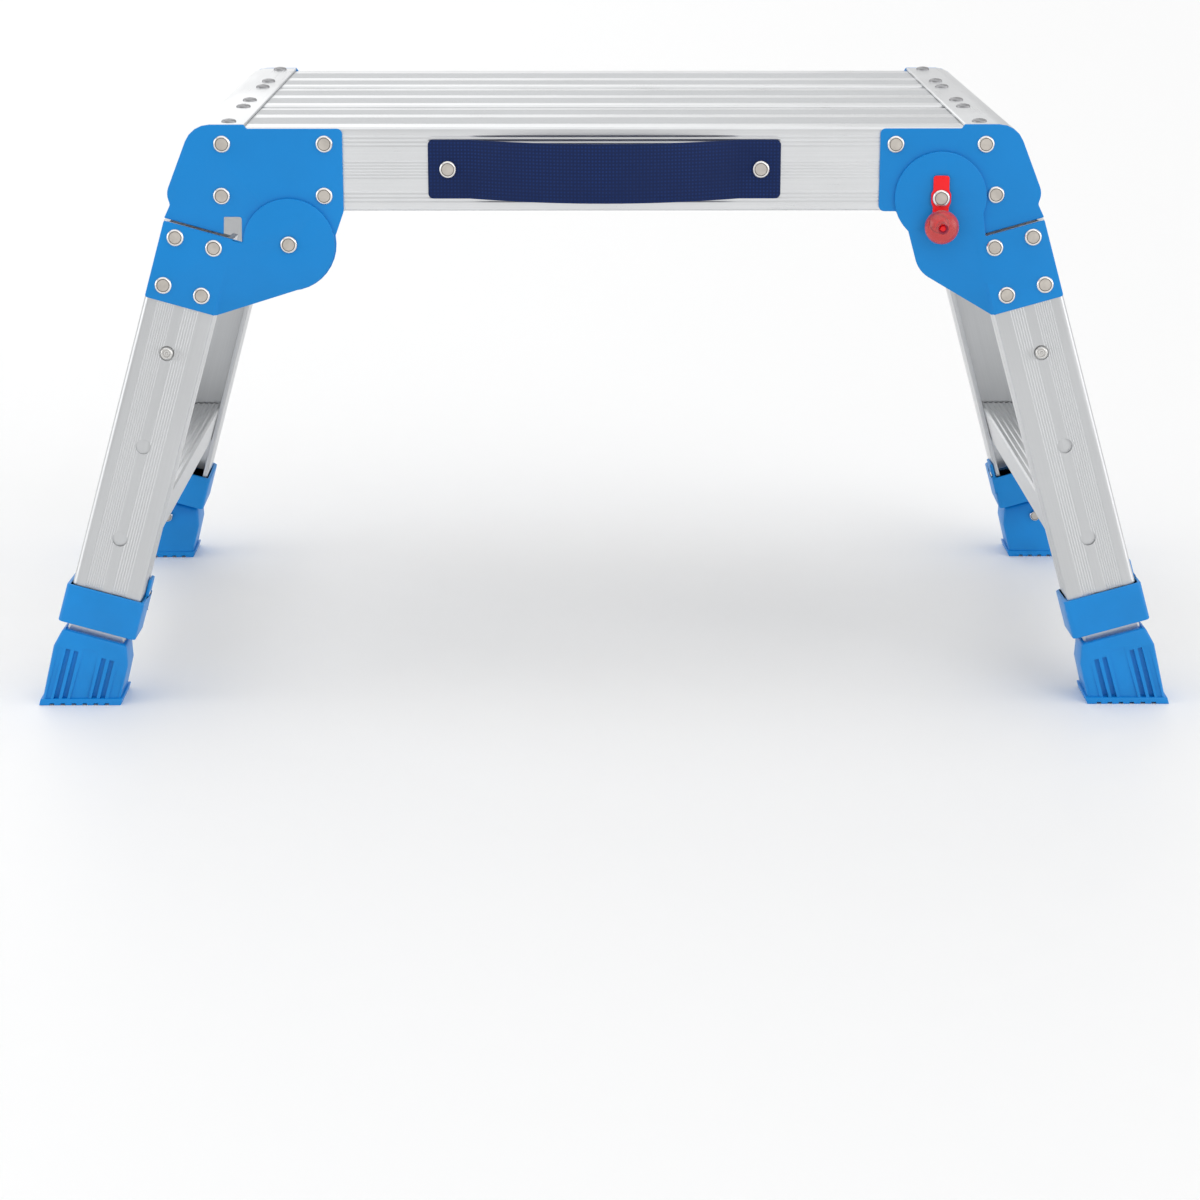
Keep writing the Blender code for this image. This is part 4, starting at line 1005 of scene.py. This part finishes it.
def footCutters(place, endward, topAt, tall, shift, outerFace):
    look = footLook
    cutters = []
    for middle, half, depth, start in look["cuts"]:
        x, half, depth = endward * middle * mm, half * mm, depth * mm
        front = outerFace - look["inset"] * 0.6
        low = (x - half, front - depth - 1 * mm, x + half, outerFace + 3 * mm, topAt - tall - 30 * mm)
        shallow = depth * 0.55 if depth > 2 * mm else 0.1 * mm
        high = (x - half * 0.8, front - shallow, x + half * 0.8, outerFace + 3 * mm, topAt - start * mm)
        cutters.append(wedge(low, high, place))
    for middle in look["sideCuts"]:
        for way in (-1, 1):
            near, away = 27.4 * mm * way + shift, 45 * mm * way
            top = (min(near * 1.06, away), middle * mm - 1.2 * mm, max(near * 1.06, away),
                middle * mm + 1.2 * mm,
                   topAt - look["shoulder"] - 2 * mm)
            base = (min(near, away), middle * mm - 2.2 * mm, max(near, away), middle * mm + 2.2 * mm,
                    topAt - tall - 30 * mm)
            cutters.append(wedge(base, top, place))
    for cutter in cutters:
        cutLevel(cutter, look["flange"])
    notchWide, notchTall = look["notch"][0] / 2, look["notch"][1]
    sole = place @ Vector((shift, 0, topAt - tall))
    for middle in look["notches"]:
        x = sole.x + middle * mm
        low = (x - notchWide, -1, x + notchWide, 1, -1 * mm)
        high = (x - notchWide * 0.7, -1, x + notchWide * 0.7, 1, notchTall)
        cutters.append(wedge(low, high))
    return cutters


def addFootRivet(side, face):
    node = f"{side}_{face}_foot_rivet"
    place = legPlace(side, face)[0]
    out = place.col[1].to_3d()
    inward = -out
    low, high = reach(node, inward)
    spots = [place.inverted() @ vert.co for vert in nodes[node].data.vertices]
    x = (min(s.x for s in spots) + max(s.x for s in spots)) / 2
    z = (min(s.z for s in spots) + max(s.z for s in spots)) / 2
    height = rivetLook["height"] * 0.9
    radius = 5.2 * mm
    back = low - high + height
    profile = rivetProfile(radius, height)[:-1]
    profile += shank("foot", back)
    bm = rivetHead(profile, radius, 32)
    level = place @ Vector((x, 0, z))
    start = level + inward * (high - height - level.dot(inward))
    bmesh.ops.transform(bm, matrix=outwards(start, inward), verts=bm.verts)
    addPiece(bm, f"{side}{face.title()}FootRivet", f"{side}_{face}_leg", rivetFinishes, [node])


stepLook = {"wall": 2.0 * mm, "pitch": 4.6 * mm, "depth": 0.8 * mm, "edge": 1.2 * mm}


def addStep(side):
    look = stepLook
    node = side + "_tread"
    low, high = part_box(node)
    sign = sides[side]
    lean = math.tan(legLean)
    shift = (high.z - low.z) * lean
    wide = (high.x - low.x) - shift
    near = min(abs(low.x), abs(high.x))          # the top edge nearest the deck's middle

    def ring(inset, lowZ, highZ):
        lowNear = near + (high.z - lowZ) * lean + inset
        highNear = near + (high.z - highZ) * lean + inset
        return [(lowNear, lowZ), (lowNear + wide - 2 * inset, lowZ),
            (highNear + wide - 2 * inset, highZ), (highNear, highZ)]

    outer = ring(0, low.z, high.z)
    top = ribbed((outer[2][0] - 1.5 * mm, high.z), (outer[3][0] + 1.5 * mm, high.z), (0, -1),
        look["pitch"], look["depth"])
    line = outer[:2] + [(outer[2][0] - 0.1 * mm, high.z - 1.2 * mm)] + top + [(outer[3][0] - 0.1 * mm,
        high.z - 1.2 * mm)]
    wall = look["wall"]
    inner = ring(wall, low.z + wall, high.z - wall)
    bm = barFrom([line, inner], lambda x, y: (sign * x, low.y, y), (0, high.y - low.y, 0))
    addPiece(bm, side + "Step", side + "_frame", "step", [node], 30)


for side in sides:
    addStep(side)
    for face in faces:
        addOuterLeg(side, face)
        addInnerLeg(side, face)
        addButton(side, face)
        addCollar(side, face)
        addFoot(side, face)
        addFootRivet(side, face)
print("legs made")


# Studio: a pale floor, a pale surround and large soft lights

studio = {
    "floorSize": 60.0, "floorColour": (0.93, 0.93, 0.93), "surround": (1.0, 1.0, 1.0),
    "surroundStrength": 0.72,
    "lights": (   # name, from that way, spread in degrees, strength
        ("softTop", (-0.3, -0.2, 2.0), 70, 0.50),
        ("softFront", (1.6, -2.2, 1.6), 40, 0.40),
        ("softRear", (-0.9, 2.4, 1.3), 50, 0.35),
        ("softLeft", (-2.4, -0.3, 0.6), 40, 0.50),
        ("softRight", (2.4, -0.3, 0.6), 40, 0.50),
    ),
    "cameraPlace": (-0.0141, -2.5042, 0.7130), "cameraTilt": (74.43, 0.0, -0.27), "lens": 90.48,
    "sensor": 36.0,
}


def addStudio():
    bm = bmesh.new()
    bmesh.ops.create_grid(bm, x_segments=4, y_segments=4, size=studio["floorSize"] / 2)
    mesh = bpy.data.meshes.new("floor")
    bm.to_mesh(mesh)
    bm.free()
    floor = bpy.data.objects.new("floor", mesh)
    bpy.context.scene.collection.objects.link(floor)
    finish = newFinish("paleFloor", studio["floorColour"], 0.55)
    dust = grain(finish, 30, detail=3)
    plug(finish, spread(finish, dust, 0.5, 0.62), "Roughness")
    mesh.materials.append(finish)
    world = bpy.data.worlds.new("surround")
    world.use_nodes = True
    background = world.node_tree.nodes["Background"]
    background.inputs["Color"].default_value = (*studio["surround"], 1)
    background.inputs["Strength"].default_value = studio["surroundStrength"]
    bpy.context.scene.world = world
    for name, way, width, strength in studio["lights"]:
        lamp = bpy.data.lights.new(name, "SUN")
        lamp.angle = math.radians(width)
        lamp.energy = strength
        holder = bpy.data.objects.new(name, lamp)
        holder.location = way
        holder.rotation_euler = Vector(way).to_track_quat("Z", "Y").to_euler()
        bpy.context.scene.collection.objects.link(holder)
    lens = bpy.data.cameras.new("camera")
    lens.lens = studio["lens"]
    lens.sensor_width = studio["sensor"]
    camera = bpy.data.objects.new("camera", lens)
    camera.location = studio["cameraPlace"]
    camera.rotation_euler = [math.radians(angle) for angle in studio["cameraTilt"]]
    bpy.context.scene.collection.objects.link(camera)
    bpy.context.scene.camera = camera
    bpy.context.scene.view_settings.view_transform = "Standard"


addStudio()
print("studio made")
